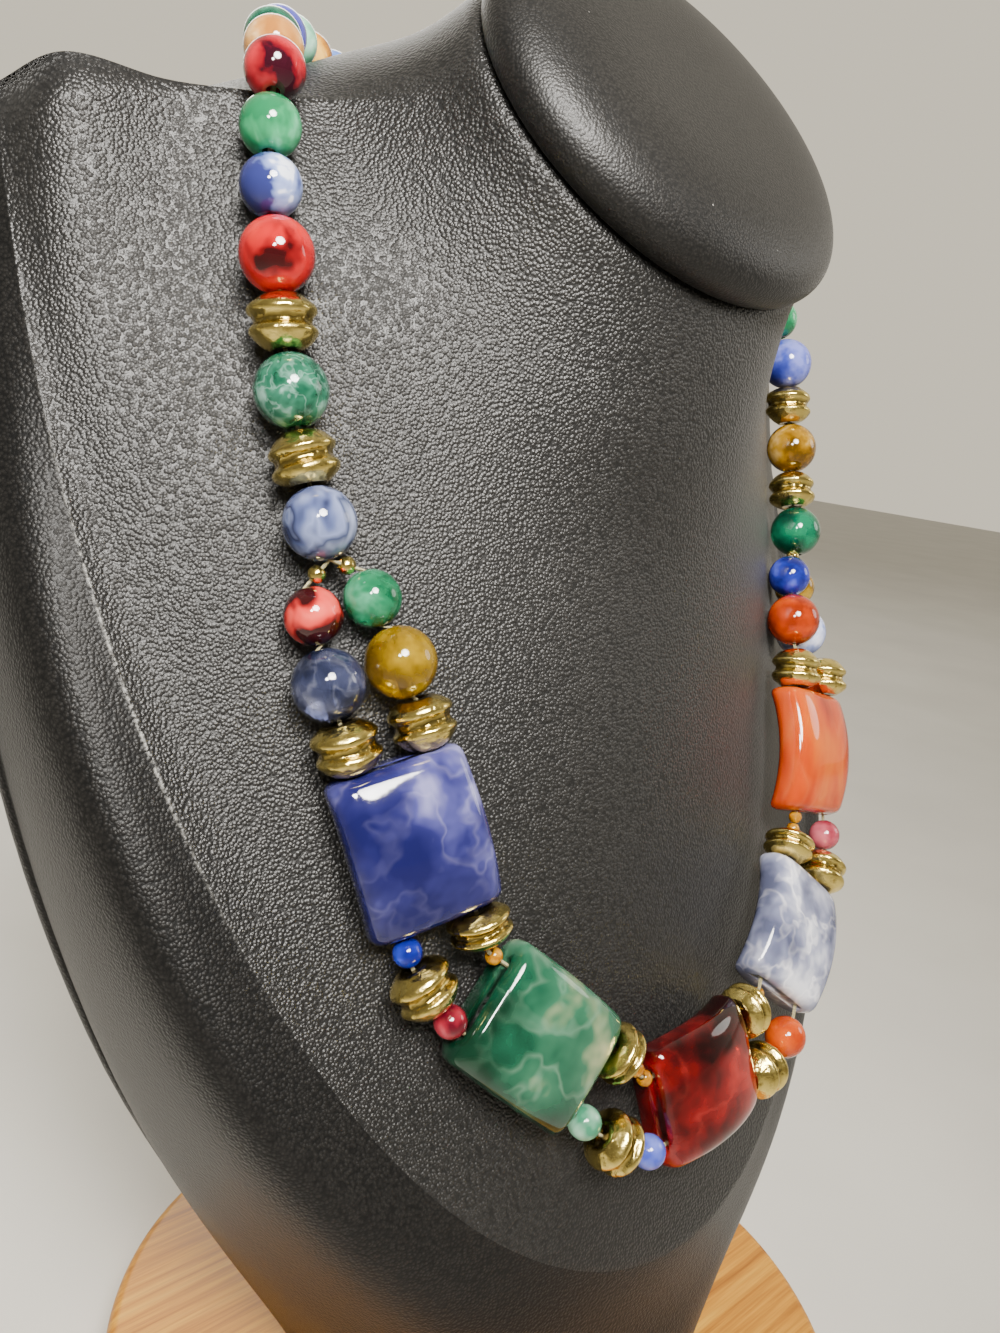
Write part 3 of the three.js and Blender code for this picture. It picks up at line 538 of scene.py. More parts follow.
def tube_faces(rows, count, inside_out=False):
    """Faces of a tube of rings with both ends closed."""
    faces = ring_faces(rows, count)
    faces.append(tuple(reversed(range(count))))
    faces.append(tuple(range((rows - 1) * count, rows * count)))
    return [tuple(reversed(face)) for face in faces] if inside_out else faces


def lathe(profile, sides, closed=False):
    """Points and faces of a profile of (along, radius) turned about X. A closed one meets its
    own start, and another gets flat ends."""
    points = []
    for along, radius in profile:
        for i in range(sides):
            turn = math.tau * i / sides
            points.append((along, radius * math.cos(turn), radius * math.sin(turn)))
    if closed:
        return points, ring_faces(len(profile), sides, closed_rows=True)
    return points, tube_faces(len(profile), sides)


def node_points(name):
    """The corners of a node's solid, in millimetres, each once."""
    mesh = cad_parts[name].data
    values = np.empty(len(mesh.vertices) * 3)
    mesh.vertices.foreach_get("co", values)
    return np.unique(np.round(values.reshape(-1, 3) / MM, 3), axis=0)


def turned_frame(name):
    """Middle and axis of a turned solid: the axis is the direction whose spread stands out."""
    points = node_points(name)
    middle = points.mean(axis=0)
    spread, axes = np.linalg.eigh(np.cov((points - middle).T))
    odd = 0 if abs(spread[1] - spread[0]) > abs(spread[2] - spread[1]) else 2
    return middle, axes[:, odd]


def set_frame(piece, middle, along, out=(0, 0, 1)):
    """Puts a piece's origin at middle, its X along the axis and its Z near out."""
    x = Vector(along).normalized()
    y = Vector(out).cross(x).normalized()
    z = x.cross(y)
    piece.matrix_world = Matrix.Translation(Vector(middle) * MM) @ Matrix(
        ((x.x, y.x, z.x), (x.y, y.y, z.y), (x.z, y.z, z.z))
    ).to_4x4()


# Round beads: fineness, the lip round a bore, the diameter over which a bead has the wide bore,
# and directions near which no bead's axis lies
BEAD_SIDES, BEAD_ROWS = 48, 28
NECK_BEAD_SIDES, NECK_BEAD_ROWS = 36, 22
BEAD_LIP = 0.12
WIDE_BORE_FROM = 7.5
BEAD_UP = (0.2, 0.3, 1)
NECK_BEAD_UP = (0.1, 0.2, 1)


def bead_profile(diameter, bore, rows):
    """A closed outline of a bored ball, with its rims rounded by a small lip."""
    radius = diameter / 2
    end = math.asin((bore + BEAD_LIP) / radius)
    profile = []
    for i in range(rows + 1):
        turn = end + (math.pi - 2 * end) * i / rows
        profile.append((-radius * math.cos(turn), radius * math.sin(turn)))
    reach = profile[-1][0]
    bevel = BEAD_LIP * 0.3
    profile += [(reach - bevel, bore + bevel), (reach - BEAD_LIP, bore)]
    profile += [(-reach + BEAD_LIP, bore), (-reach + bevel, bore + bevel)]
    return profile


def round_bead(node, material):
    """A bored ball with the middle, axis and diameter of a node's faceted one."""
    middle, along = turned_frame(node)
    diameter = 2 * float(np.max(np.linalg.norm(node_points(node) - middle, axis=1)))
    bore = BORE_RADIUS if diameter > WIDE_BORE_FROM else SMALL_BORE_RADIUS
    points, faces = lathe(bead_profile(diameter, bore, BEAD_ROWS), BEAD_SIDES, closed=True)
    piece = make_object(f"{node}_fine", points, faces, material)
    set_frame(piece, middle, along, BEAD_UP)
    finish_piece(piece, node)


# Outline of a gold spacer, from the end that is flat to the end that is domed: shares of the
# half length and of the radius
SPACER_OUTLINE = [
    (-1.00, 0.56), (-0.94, 0.66), (-0.82, 0.80), (-0.66, 0.95), (-0.50, 1.00), (-0.36, 0.98),
    (-0.26, 0.89), (-0.10, 0.84), (0.06, 0.85), (0.16, 0.93), (0.26, 0.98), (0.38, 0.98),
    (0.50, 0.91), (0.70, 0.79), (0.88, 0.64), (0.97, 0.52), (1.00, 0.42),
]
SPACER_SIDES, SPACER_ROWS = 56, 48
SPACER_UP = (0.1, 0.2, 1)

# How uneven a spacer is. Shares of the half length: how far its outline is smoothed, its rings
# lean and its waves shift them. Shares of the radius: how far the waves swell it, and its limit.
SPACER_SMOOTHING = 0.04
SPACER_LEAN = (0.04, 0.12)
SPACER_LOBES = (2, 3, 4, 7)
SPACER_SHIFT = 0.03
SPACER_SWELL = 0.02
SPACER_LIMIT = 1.01

# The groove between the rings: the radius share over it, its reach from the middle, and its
# pits, how many on half a turn and how deep as a share of the groove's depth
GROOVE_RIM = 0.93
GROOVE_REACH = 0.5
GROOVE_PITS = 5
GROOVE_PIT_DEPTH = 0.5

# How dark the gold gets in the groove, on the ends and in the bore, how soon it does in the
# groove, and the share of the half length where the ends begin
DARK_GROOVE, DARK_END, DARK_BORE = 0.8, 0.4, 0.9
DARK_GAIN = 8
END_FROM = 0.85


def spacer_share(along):
    """Radius share of the outline, smoothed between its points."""
    places = [place for place, _ in SPACER_OUTLINE]
    shares = [share for _, share in SPACER_OUTLINE]
    shifts = (-SPACER_SMOOTHING, 0, SPACER_SMOOTHING)
    near = [np.interp(along + shift, places, shares) for shift in shifts]
    return sum(near) / len(near)


def spacer(node, seed):
    """A cast nugget: two uneven rings with a hammered groove between them."""
    middle, along = turned_frame(node)
    corners = node_points(node) - middle
    half = float(np.max(np.abs(corners @ along)))
    axial = (corners @ along)[:, None] * along
    radius = float(np.max(np.linalg.norm(corners - axial, axis=1)))
    draw = random.Random(seed)
    if draw.random() < 0.5:
        along = -along
    waves = [(n, draw.uniform(-1, 1) / n, draw.uniform(0, math.tau)) for n in SPACER_LOBES]
    tilt, tilt_turn = draw.uniform(*SPACER_LEAN), draw.uniform(0, math.tau)
    points, groove = [], []
    for i in range(SPACER_ROWS + 1):
        place = -1 + 2 * i / SPACER_ROWS
        freedom = 1 - place**4
        end = max(0.0, abs(place) - END_FROM) / (1 - END_FROM)
        for k in range(SPACER_SIDES):
            turn = math.tau * k / SPACER_SIDES
            lean = tilt * freedom * math.cos(turn + tilt_turn)
            wave = sum(size * math.cos(n * turn + start) for n, size, start in waves)
            share = spacer_share(place + lean + SPACER_SHIFT * freedom * wave)
            pit = max(0.0, GROOVE_RIM - share) if abs(place) < GROOVE_REACH else 0.0
            share -= pit * GROOVE_PIT_DEPTH * math.sin(GROOVE_PITS * turn + tilt_turn) ** 2
            r = radius * min(share * (1 + SPACER_SWELL * wave), SPACER_LIMIT)
            points.append((half * place, r * math.cos(turn), r * math.sin(turn)))
            groove.append(DARK_GROOVE * min(1.0, pit * DARK_GAIN) + DARK_END * end)
    bore, _ = lathe([(half, BORE_RADIUS), (-half, BORE_RADIUS)], SPACER_SIDES)
    points += bore
    groove += [DARK_BORE] * len(bore)
    faces = ring_faces(SPACER_ROWS + 3, SPACER_SIDES, closed_rows=True)
    piece = make_object(f"{node}_fine", points, faces, GOLD, attributes={"groove": groove})
    set_frame(piece, middle, along, SPACER_UP)
    finish_piece(piece, node)


# Tiles

TILE_ORDER = list(TILE_LOOKS)

# The tiles face away from an upright line so far behind the bust's middle
INNER_LINE_Y = 20

# Section and ends of a tile: the radius of its edges and the share of it that thins the faces,
# the powers that square its width and its thickness, how far its middle swells, and fineness
TILE_EDGE = 1.6
TILE_EDGE_THINNING = 0.8
TILE_WIDTH_POWER = 4.2
TILE_THICKNESS_POWER = 2.8
TILE_SWELL = 0.012
TILE_SIDES, TILE_ROWS = 64, 40
TILE_ROW_POWER = 0.8
DRILL_SIDES = 20


def tile_frames():
    """Origin and directions along, across and out of each tile, read from its solid."""
    middles, frames = {}, {}
    for name in TILE_ORDER:
        middles[name] = node_points(name).mean(axis=0)
    for i, name in enumerate(TILE_ORDER):
        points = node_points(name)
        _, axes = np.linalg.eigh(np.cov((points - middles[name]).T))
        out, across, along = axes[:, 0], axes[:, 1], axes[:, 2]
        first, last = TILE_ORDER[max(i - 1, 0)], TILE_ORDER[min(i + 1, len(TILE_ORDER) - 1)]
        if np.dot(along, middles[last] - middles[first]) < 0:
            along = -along
        inside = np.array((0, INNER_LINE_Y, middles[name][2]))
        if np.dot(out, middles[name] - inside) < 0:
            out = -out
        across = np.cross(out, along)
        local = (points - middles[name]) @ np.stack((along, across, out), axis=1)
        low, high = local.min(axis=0), local.max(axis=0)
        place = (low + high) / 2
        place[2] = high[2] - (TILE_THICKNESS + TILE_BOW) / 2
        origin = middles[name] + place @ np.stack((along, across, out))
        frames[name] = (origin, along, across, out)
    return frames


def tile(name, placing):
    """A cushioned block bent over its length, with soft edges and two bores."""
    origin, along, across, out = placing
    bend_radius = ((TILE_LENGTH / 2) ** 2 + TILE_BOW**2) / (2 * TILE_BOW)
    points = []
    for i in range(TILE_ROWS + 1):
        share = -1 + 2 * i / TILE_ROWS
        x = math.copysign(abs(share) ** TILE_ROW_POWER, share) * TILE_LENGTH / 2
        into_edge = max(TILE_EDGE - (TILE_LENGTH / 2 - abs(x)), 0.0)
        inset = TILE_EDGE - math.sqrt(TILE_EDGE**2 - into_edge**2)
        bend = math.sqrt(bend_radius**2 - x**2) - bend_radius
        swell = 1 + TILE_SWELL * math.cos(math.pi * x / TILE_LENGTH)
        half_width = TILE_WIDTH / 2 * swell - inset
        half_thickness = TILE_THICKNESS / 2 - inset * TILE_EDGE_THINNING
        for k in range(TILE_SIDES):
            turn = math.tau * (k + 0.5) / TILE_SIDES
            c, s = math.cos(turn), math.sin(turn)
            flat = math.copysign(abs(c) ** (2 / TILE_WIDTH_POWER), c)
            high = math.copysign(abs(s) ** (2 / TILE_THICKNESS_POWER), s)
            points.append((x, flat * half_width, high * half_thickness + bend + TILE_BOW / 2))
    faces = tube_faces(TILE_ROWS + 1, TILE_SIDES, inside_out=True)
    piece = make_object(f"{name}_fine", points, faces, marbled_material(name, **TILE_LOOKS[name]))
    set_frame(piece, origin, along, out)
    drill_tile(piece)
    finish_piece(piece, name)


def drill_tile(piece):
    """Cuts the two bores out of a tile."""
    for side in (-1, 1):
        reach = [(-TILE_LENGTH, BORE_RADIUS), (TILE_LENGTH, BORE_RADIUS)]
        points, faces = lathe(reach, DRILL_SIDES)
        points = [(x, y + side * STRAND_SPACING / 2, z) for x, y, z in points]
        drill = make_object("drill", points, faces, piece.data.materials[0])
        drill.matrix_world = piece.matrix_world
        cut = piece.modifiers.new("bore", "BOOLEAN")
        cut.operation = "DIFFERENCE"
        cut.solver = "EXACT"
        cut.object = drill
        apply_modifiers(piece)
        bpy.data.objects.remove(drill, do_unlink=True)
    piece.data.polygons.foreach_set("use_smooth", [True] * len(piece.data.polygons))


def apply_modifiers(piece):
    """Swaps the piece's mesh for the one that its modifiers make."""
    graph = bpy.context.evaluated_depsgraph_get()
    mesh = bpy.data.meshes.new_from_object(piece.evaluated_get(graph))
    piece.modifiers.clear()
    piece.data = mesh


# The bust's surface, worked out as for the solids


def spline(values, share):
    """A smooth curve through rows of values, share 0 to 1 from the first to the last."""
    values = np.asarray(values, dtype=float)
    last = len(values) - 1
    step = min(int(share * last), last - 1)
    t = share * last - step
    before = values[step - 1] if step > 0 else 2 * values[0] - values[1]
    after = values[step + 2] if step + 2 <= last else 2 * values[last] - values[last - 1]
    return hermite(before, values[step], values[step + 1], after, t)


def hermite(before, first, second, after, t):
    """The curve from first to second, at share t, that heads on towards their neighbours."""
    pull_first = (second - before) / 2
    pull_second = (after - first) / 2
    return (
        first
        + pull_first * t
        + (3 * (second - first) - 2 * pull_first - pull_second) * t**2
        + (2 * (first - second) + pull_first + pull_second) * t**3
    )


TILT = math.radians(CAP_TILT)
CAP_LENGTHWISE = np.array((0, math.cos(TILT), math.sin(TILT)))
CAP_OUTWARD = np.array((0, -math.sin(TILT), math.cos(TILT)))
BODY_BOTTOM = BASE_THICKNESS + SEAT_GAP
CAP_MIDDLE = np.array(
    (0, CAP_PLACE["y"] * BODY_DEPTH, BODY_BOTTOM + CAP_PLACE["z"] * BODY_HEIGHT)
)


def bust_rows():
    """Each row is front x y z, side x y z, back x y z and the three bends."""
    middle = CAP_MIDDLE - CAP_OUTWARD * (CAP_THICKNESS / 2 + CAP_SEAM)
    half_length = CAP_HALF_LENGTH - CAP_OVERHANG
    side = middle + np.array((CAP_HALF_WIDTH - CAP_OVERHANG, 0, 0))
    front, back = middle - CAP_LENGTHWISE * half_length, middle + CAP_LENGTHWISE * half_length
    rows = [[*front, *side, *back, 1, 1, 1]]
    for _, front_y, front_z, side_x, side_y, side_z, back_y, back_z, *bends in BUST_RINGS:
        rows.append([
            0, front_y * BODY_DEPTH, BODY_BOTTOM + front_z * BODY_HEIGHT,
            side_x * CHEST_HALF_WIDTH, side_y * BODY_DEPTH, BODY_BOTTOM + side_z * BODY_HEIGHT,
            0, back_y * BODY_DEPTH, BODY_BOTTOM + back_z * BODY_HEIGHT,
            *bends,
        ])
    return np.array(rows, dtype=float)


ROWS = bust_rows()
FOOT_RING = len(ROWS) - 1


def bust_point(ring, degrees):
    """A point of the bust: ring 0 is the neck's rim, and degrees run round from the front."""
    if ring <= CREASE_RING:
        row = spline(ROWS[: CREASE_RING + 1], ring / CREASE_RING)
    else:
        row = spline(ROWS[CREASE_RING:], (ring - CREASE_RING) / (FOOT_RING - CREASE_RING))
    front, side, back, bends = row[0:3], row[3:6], row[6:9], row[9:12]
    angle = math.radians(degrees)
    lengthwise = abs(math.cos(angle))
    in_front = math.cos(angle) > 0
    end = front if in_front else back
    reach = lengthwise ** (bends[0] if in_front else bends[1])
    rise = lengthwise ** (bends[2] if in_front else 1)
    return np.array((
        side[0] * math.sin(angle),
        side[1] + (end[1] - side[1]) * reach,
        side[2] + (end[2] - side[2]) * rise,
    ))


def unit(vector):
    return vector / np.linalg.norm(vector)


def bust_normal(ring, degrees):
    """The direction out of the bust there."""
    ring_step, turn_step = 0.02, 1
    lower = bust_point(min(ring + ring_step, FOOT_RING), degrees)
    down = lower - bust_point(max(ring - ring_step, 0), degrees)
    around = bust_point(ring, degrees + turn_step) - bust_point(ring, degrees - turn_step)
    return unit(np.cross(down, around))


# Rows of the fine body: closer together at the rim, at the crease and at the foot
BODY_SIDES = 240
RIM_ROWS = [0.0, 0.02, 0.06, 0.12]
PANEL_ROWS = [0.2 + 0.1 * i for i in range(57)]
CREASE_ROWS = [5.88, 5.93, 5.97, 6.0, 6.015, 6.04, 6.08]
BAND_ROWS = [6.15 + 0.1 * i for i in range(28)]
FOOT_ROWS = [8.93, 8.97, 9.0]

# How far the rim rolls in, as a share of the way to the cap's middle
RIM_ROLL = 0.02

# The pale worn stretch of the crease: its middle and spread in degrees round the bust, its
# spread in rings and its strength
WORN_MIDDLE = 292.5
WORN_SPREAD = 8
WORN_WIDTH = 0.02
WORN_STRENGTH = 0.9


def bust_body():
    """The leather body with a rolled rim, and under the crease a less shiny copy of its leather as
    painted shade.
    """
    rings = RIM_ROWS + PANEL_ROWS + CREASE_ROWS + BAND_ROWS + FOOT_ROWS
    points, worn = [], []
    for ring in rings:
        roll = RIM_ROLL * max(1 - ring / RIM_ROWS[-1], 0.0) ** 2
        near = math.exp(-(((ring - CREASE_RING) / WORN_WIDTH) ** 2))
        for k in range(BODY_SIDES):
            degrees = 360 * k / BODY_SIDES
            point = bust_point(ring, degrees)
            points.append(point + (CAP_MIDDLE - point) * roll)
            stretch = math.exp(-(((degrees - WORN_MIDDLE) / WORN_SPREAD) ** 2))
            worn.append(WORN_STRENGTH * near * stretch)
    faces = tube_faces(len(rings), BODY_SIDES, inside_out=True)
    # Faces from the crease down take the less shiny copy of the leather, painted shade
    slots = [int(i >= rings.index(CREASE_RING) * BODY_SIDES) for i in range(len(faces))]
    slots[-2] = 0  # the neck's end under the cap
    piece = make_object(
        "bust_body_fine", points, faces, LEATHER, SHADED_BAND_LEATHER,
        slots=slots, attributes={"worn": worn},
    )
    finish_piece(piece, "bust_body")


# The cap over its middle: the radius of its lower edge, how far along its axis it is widest,
# how far the padding rises from there, the pinhole in the middle of its faces, and fineness
CAP_EDGE = 1.6
CAP_WIDEST = -1.6
CAP_PILLOW = 7.7
CAP_PINHOLE = 0.2
CAP_SIDES, CAP_EDGE_STEPS, CAP_PILLOW_STEPS = 160, 8, 36
CAP_STEP_POWER = 0.8


def neck_cap():
    """A padded oval cap, pillowed from its widest line up to the middle of its face."""
    half = CAP_THICKNESS / 2
    profile = [(-half, CAP_PINHOLE), (-half, CAP_HALF_WIDTH / 2)]
    profile.append((-half, CAP_HALF_WIDTH - CAP_EDGE * 2))
    for i in range(1, CAP_EDGE_STEPS + 1):
        turn = math.pi / 2 * i / CAP_EDGE_STEPS
        along = CAP_WIDEST - (half + CAP_WIDEST) * math.cos(turn)
        profile.append((along, CAP_HALF_WIDTH - CAP_EDGE + CAP_EDGE * math.sin(turn)))
    for i in range(1, CAP_PILLOW_STEPS):
        turn = math.pi / 2 * (i / CAP_PILLOW_STEPS) ** CAP_STEP_POWER
        radius = CAP_HALF_WIDTH * math.cos(turn) ** (2 / CAP_SQUARENESS)
        profile.append((CAP_WIDEST + CAP_PILLOW * math.sin(turn), max(radius, CAP_PINHOLE)))
    profile.append((CAP_WIDEST + CAP_PILLOW, CAP_PINHOLE))
    points, faces = lathe(profile, CAP_SIDES)
    sideways = np.array((1.0, 0, 0))
    lengthwise = CAP_LENGTHWISE * CAP_HALF_LENGTH / CAP_HALF_WIDTH
    placed = [CAP_MIDDLE + CAP_OUTWARD * x + sideways * y + lengthwise * z for x, y, z in points]
    unworn = {"worn": [0] * len(placed)}
    piece = make_object("neck_cap_fine", placed, faces, CAP_LEATHER, attributes=unworn)
    finish_piece(piece, "neck_cap")


# The base: the radius of its rims, the pinhole in the middle of its faces, and fineness
BASE_EDGE = 2.2
BASE_PINHOLE = 0.5
BASE_SIDES, BASE_EDGE_STEPS = 192, 8


def wood_base():
    """A round disc with both rims rounded."""
    profile = [(0, BASE_PINHOLE), (0, BASE_RADIUS / 2)]
    for height, start in ((BASE_EDGE, -math.pi / 2), (BASE_THICKNESS - BASE_EDGE, 0.0)):
        for i in range(BASE_EDGE_STEPS + 1):
            turn = start + math.pi / 2 * i / BASE_EDGE_STEPS
            radius = BASE_RADIUS - BASE_EDGE + BASE_EDGE * math.cos(turn)
            profile.append((height + BASE_EDGE * math.sin(turn), radius))
    profile += [(BASE_THICKNESS, BASE_RADIUS / 2), (BASE_THICKNESS, BASE_PINHOLE)]
    points, faces = lathe(profile, BASE_SIDES)
    placed = [(y, z, x) for x, y, z in points]
    piece = make_object("wood_base_fine", placed, faces, wood_material())
    finish_piece(piece, "wood_base")


# The necklace's centre line and the beads round the neck


def loop_stops():
    """The route once round the bust: the half that is listed, then its mirror image."""
    inner = NECKLACE_ROUTE[1:-1]
    mirrored = [(ring, 360 - degrees) for ring, degrees in reversed(inner)]
    return [*NECKLACE_ROUTE, *mirrored]


class Loop:
    """The closed centre line, sampled finely by length."""

    STEPS = 4000

    def __init__(self):
        stops = loop_stops()
        foot = np.array([bust_point(*stop) for stop in stops])
        thread = foot + THREAD_HEIGHT * np.array([bust_normal(*stop) for stop in stops])
        self.foot = self.sample(foot)
        self.thread = self.sample(thread)
        pieces = np.linalg.norm(np.diff(self.thread, axis=0), axis=1)
        self.lengths = np.concatenate(([0], np.cumsum(pieces)))
        self.length = self.lengths[-1]

    def sample(self, points):
        count = len(points)
        rows = []
        for i in range(self.STEPS + 1):
            whole = i / self.STEPS * count
            step = int(whole) % count
            corners = [points[(step + k) % count] for k in (-1, 0, 1, 2)]
            rows.append(hermite(*corners, whole - int(whole)))
        return np.array(rows)

    def frame_at(self, length):
        """Place, direction along and direction out of the bust at a length along the line."""
        length = length % self.length
        place = np.array([np.interp(length, self.lengths, self.thread[:, k]) for k in range(3)])
        foot = np.array([np.interp(length, self.lengths, self.foot[:, k]) for k in range(3)])
        i = min(max(np.searchsorted(self.lengths, length), 1), len(self.lengths) - 1)
        along = unit(self.thread[i] - self.thread[i - 1])
        inner = unit(np.cross(unit(place - foot), along))
        return place, along, np.cross(along, inner)


LOOP = Loop()


def surface_grid():
    """Points and normals of the bust where the necklace lies."""
    places = [(1 + 0.1 * i, 3 * k) for i in range(61) for k in range(120)]
    points = np.array([bust_point(*place) for place in places])
    return points, np.array([bust_normal(*place) for place in places])


GRID_POINTS, GRID_NORMALS = surface_grid()


def seated(length, radius):
    """Middle and axis of a bead that rests over the bust with the seat gap."""
    place, along, out = LOOP.frame_at(length)
    nearest = np.argmin(((GRID_POINTS - place) ** 2).sum(axis=1))
    height = (place - GRID_POINTS[nearest]) @ GRID_NORMALS[nearest] - radius
    return place + out * max(SEAT_GAP - height, -SINK_LIMIT), along


def neck_start(side):
    """Length along the centre line from the red tile's middle to the neck string."""
    pieces = [SPACER_LENGTH, LARGE_BEAD, PAIR_BEAD, SPLIT_RUN]
    pieces += [LARGE_BEAD] * SINGLE_BEADS + [SPACER_LENGTH] * (SINGLE_BEADS - 1)
    tiles = len(TILE_ORDER) / 2 * TILE_LENGTH + sum(TILE_GAPS[side])
    return tiles + PAIR_RUN[side] + sum(pieces) + BEAD_GAP * len(pieces)


# The thread inside a neck string: its radius and sides
CORE_RADIUS = THREAD_RADIUS * 1.3
CORE_SIDES = 8


def neck_string(side):
    """The round beads of one side from the last single bead to the clasp, on their thread."""
    sign = 1 if side == "right" else -1
    start = neck_start(side)
    room = LOOP.length / 2 - CLASP_LENGTH / 2 - BEAD_GAP - start
    count = int((room - BEAD_GAP) // (NECK_BEAD - BEAD_GAP))
    spread = (room - BEAD_GAP) / count
    profile = bead_profile(spread - BEAD_GAP / 2, BORE_RADIUS, NECK_BEAD_ROWS)
    bead_points, bead_faces = lathe(profile, NECK_BEAD_SIDES, closed=True)
    looks = NECK_LOOKS[side]
    points, faces, slots, centres = [], [], [], []

    def add_part(part_points, part_faces, slot):
        first = len(points)
        points.extend(part_points)
        faces.extend(tuple(first + index for index in face) for face in part_faces)
        slots.extend([slot] * len(part_faces))

    for i in range(count):
        middle, along = seated(sign * (start + BEAD_GAP + spread * (i + 0.5)), NECK_BEAD / 2)
        across = unit(np.cross(NECK_BEAD_UP, along))
        upward = np.cross(along, across)
        placed = [middle + along * x + across * y + upward * z for x, y, z in bead_points]
        add_part(placed, bead_faces, i % len(looks))
        centres.append(middle)
    add_part(*tube(centres, CORE_RADIUS, CORE_SIDES), len(looks))
    materials = [neck_material(look, side, i) for i, look in enumerate(looks)]
    piece = make_object(f"neck_beads_{side}", points, faces, *materials, THREAD, slots=slots)
    finish_piece(piece, f"neck_string_{side}")


def neck_material(look, side, i):
    """The i-th of one side's looks, with a pattern of its own."""
    seed = i * 3 + (7 if side == "left" else 0)
    return marbled_material(
        f"neck_{side}_{look}", NECK_STOPS[look], scale=0.17, swirl=4.0, seed=seed, clear=0.1
    )


def tube(centres, radius, sides):
    """Points and faces of a round bar through the centres."""
    points = []
    centres = np.array(centres)
    for i, centre in enumerate(centres):
        along = unit(centres[min(i + 1, len(centres) - 1)] - centres[max(i - 1, 0)])
        across = unit(np.cross((0, 0, 1.0), along))
        upward = np.cross(along, across)
        for k in range(sides):
            turn = math.tau * k / sides
            points.append(centre + radius * (across * math.cos(turn) + upward * math.sin(turn)))
    return points, tube_faces(len(centres), sides)


# Outline of the clasp: share of the half length and radius in millimetres. It is darker under
# the groove's radius.
CLASP_OUTLINE = [
    (-1.0, 1.2), (-0.98, 1.7), (-0.86, 2.0), (-0.78, 2.7), (-0.7, 2.95), (-0.6, 2.95),
    (-0.55, 2.6), (-0.12, 2.75), (-0.08, 2.95), (0.08, 2.95), (0.12, 2.75), (0.55, 2.6),
    (0.6, 2.95), (0.7, 2.95), (0.78, 2.7), (0.86, 2.0), (0.98, 1.7), (1.0, 1.2),
]
CLASP_GROOVE_RADIUS = 2.7
CLASP_DARK = 0.7


def clasp():
    """A plain barrel with turned rings."""
    middle, along = turned_frame("clasp")
    profile = [(share * CLASP_LENGTH / 2, radius) for share, radius in CLASP_OUTLINE]
    points, faces = lathe(profile, BEAD_SIDES)
    groove = [CLASP_DARK * (math.hypot(y, z) < CLASP_GROOVE_RADIUS) for _, y, z in points]
    piece = make_object("clasp_fine", points, faces, GOLD, attributes={"groove": groove})
    set_frame(piece, middle, along)
    finish_piece(piece, "clasp")


# Light and floor


def add_light(name, place, target, size, power, colour, spread):
    """A round area light, in metres, watts and degrees."""
    data = bpy.data.lights.new(name, "AREA")
    data.shape = "DISK"
    data.size = size
    data.energy = power
    data.color = colour
    data.spread = math.radians(spread)
    light = bpy.data.objects.new(name, data)
    light.location = place
    light.rotation_euler = (Vector(target) - Vector(place)).to_track_quat("-Z", "Y").to_euler()
    bpy.context.scene.collection.objects.link(light)


# The key lamp's height over the camera and its distance behind it, in metres
KEY_ABOVE, KEY_BEHIND = 0.11, 0.16


def light_scene():
    """A small lamp over the camera, one over the left shoulder, and soft ones to the sides."""
    middle = (0, -0.02, 0.15)
    over_camera = Vector(CAMERA_PLACE) * MM + KEY_ABOVE * CAMERA_UP + KEY_BEHIND * CAMERA_BACK
    lights = [
        # name, place, target, size, power, colour, spread
        ("key", over_camera, middle, 0.05, 0.9, (1.0, 0.97, 0.92), 180),
        ("over", (-0.22, -0.33, 0.5), (-0.05, 0.02, 0.24), 0.2, 1.75, (1.0, 0.96, 0.9), 70),
        ("side", (1.0, -0.6, 0.6), middle, 0.5, 2.5, (1.0, 0.97, 0.92), 180),
        ("back", (0.6, 1.1, 0.9), middle, 0.8, 8, (1.0, 0.97, 0.9), 180),
    ]
    for light in lights:
        add_light(*light)
    light_world()


# The room's light: its colour, the direction in which it grows, the span of that direction over
# which it does, and its strength at both ends
ROOM_COLOUR = (0.9, 0.82, 0.66, 1)
ROOM_BRIGHT_SIDE = (0.72, 0.68, 0.1)
ROOM_SPAN = (-0.2, 0.75)
ROOM_STRENGTH = (0.22, 0.95)


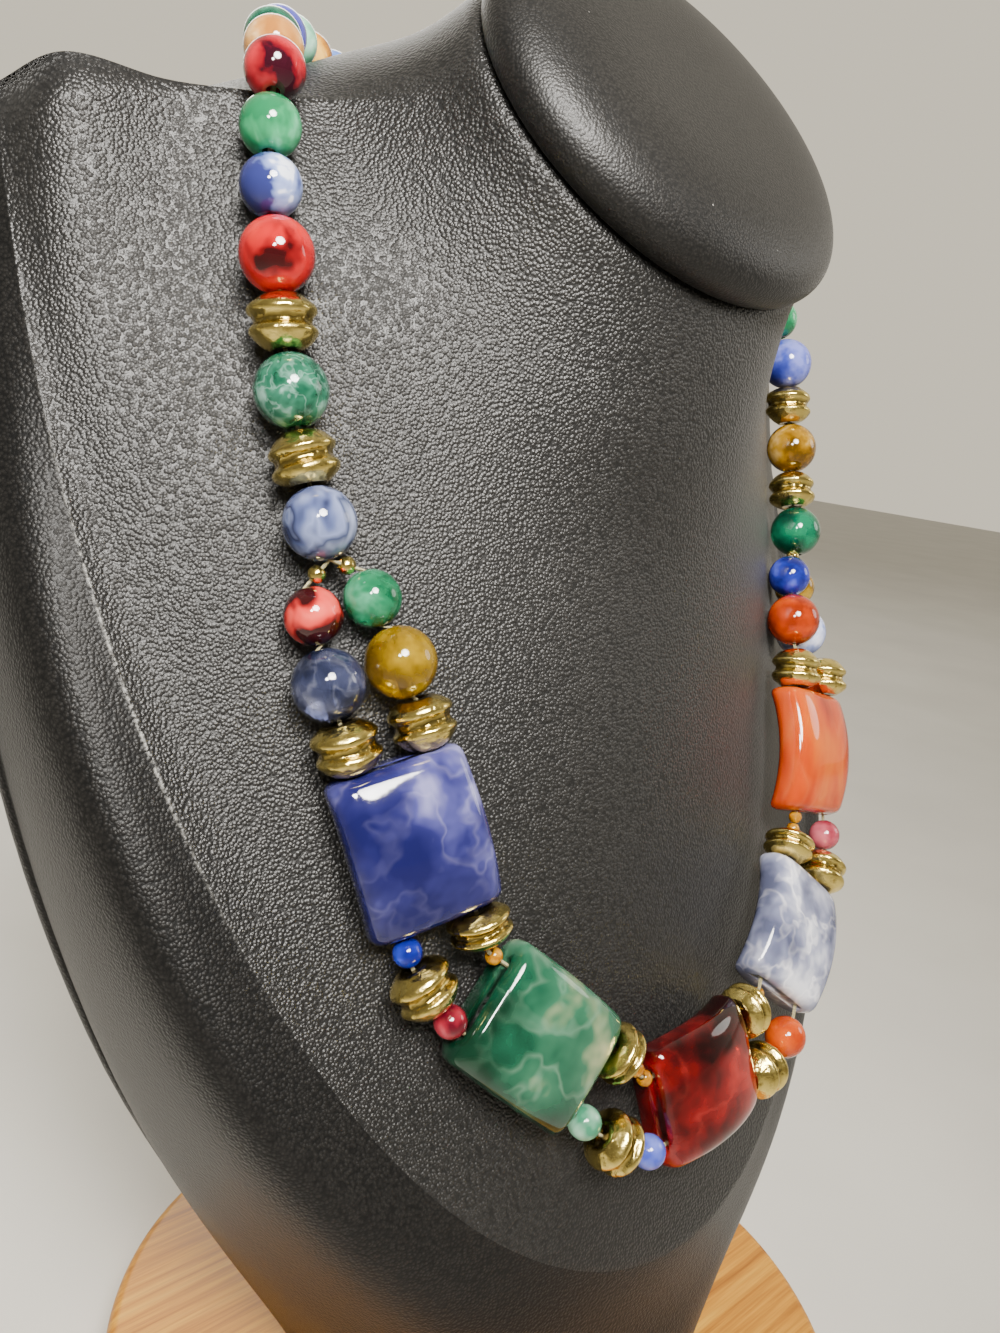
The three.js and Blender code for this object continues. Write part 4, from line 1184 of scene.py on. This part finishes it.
def light_world():
    """A room that is bright and warm beyond the bust and dimmer in front of it."""
    world = bpy.data.worlds.new("studio")
    world.use_nodes = True
    tree = world.node_tree
    direction = tree.nodes.new("ShaderNodeTexCoord").outputs["Generated"]
    beyond = tree.nodes.new("ShaderNodeVectorMath")
    beyond.operation = "DOT_PRODUCT"
    beyond.inputs[1].default_value = ROOM_BRIGHT_SIDE
    strength = tree.nodes.new("ShaderNodeMapRange")
    strength.interpolation_type = "SMOOTHSTEP"
    set_spans(strength, ROOM_SPAN, ROOM_STRENGTH)
    background = tree.nodes["Background"]
    background.inputs["Color"].default_value = ROOM_COLOUR
    tree.links.new(direction, beyond.inputs[0])
    tree.links.new(beyond.outputs["Value"], strength.inputs["Value"])
    tree.links.new(strength.outputs["Result"], background.inputs["Strength"])
    bpy.context.scene.world = world


# Half the floor's width, in millimetres
FLOOR_REACH = 4000


def floor():
    """A plain pale floor."""
    nodes = Nodes("pale_floor")
    cloud = nodes.noise(nodes.place(), 0.01, detail=3.0)
    nodes.shade(Base_Color=nodes.ramp(cloud, [(0.3, "cfccc4"), (0.7, "d8d5cd")]), Roughness=0.6)
    corners = [(-1, -1), (1, -1), (1, 1), (-1, 1)]
    points = [(x * FLOOR_REACH, y * FLOOR_REACH, 0) for x, y in corners]
    make_object("floor", points, [(0, 1, 2, 3)], nodes.material, smooth=False)


# Assembly


def nodes_named(start):
    return sorted(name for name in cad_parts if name.startswith(start))


bust_body()
neck_cap()
wood_base()
for tile_name, tile_placing in tile_frames().items():
    tile(tile_name, tile_placing)
for bead_name, bead_look in BEAD_LOOKS.items():
    round_bead(bead_name, marbled_material(bead_name, **bead_look))
for number, seed_name in enumerate(nodes_named("seed_")):
    round_bead(seed_name, marbled_material(seed_name, seed=number, **SEED_LOOK))
for split_name in nodes_named("split_bead"):
    round_bead(split_name, GOLD)
for number, spacer_name in enumerate(nodes_named("spacer_")):
    spacer(spacer_name, number)
neck_string("left")
neck_string("right")
clasp()
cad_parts["thread"].data.materials.clear()
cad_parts["thread"].data.materials.append(THREAD)
light_scene()
floor()
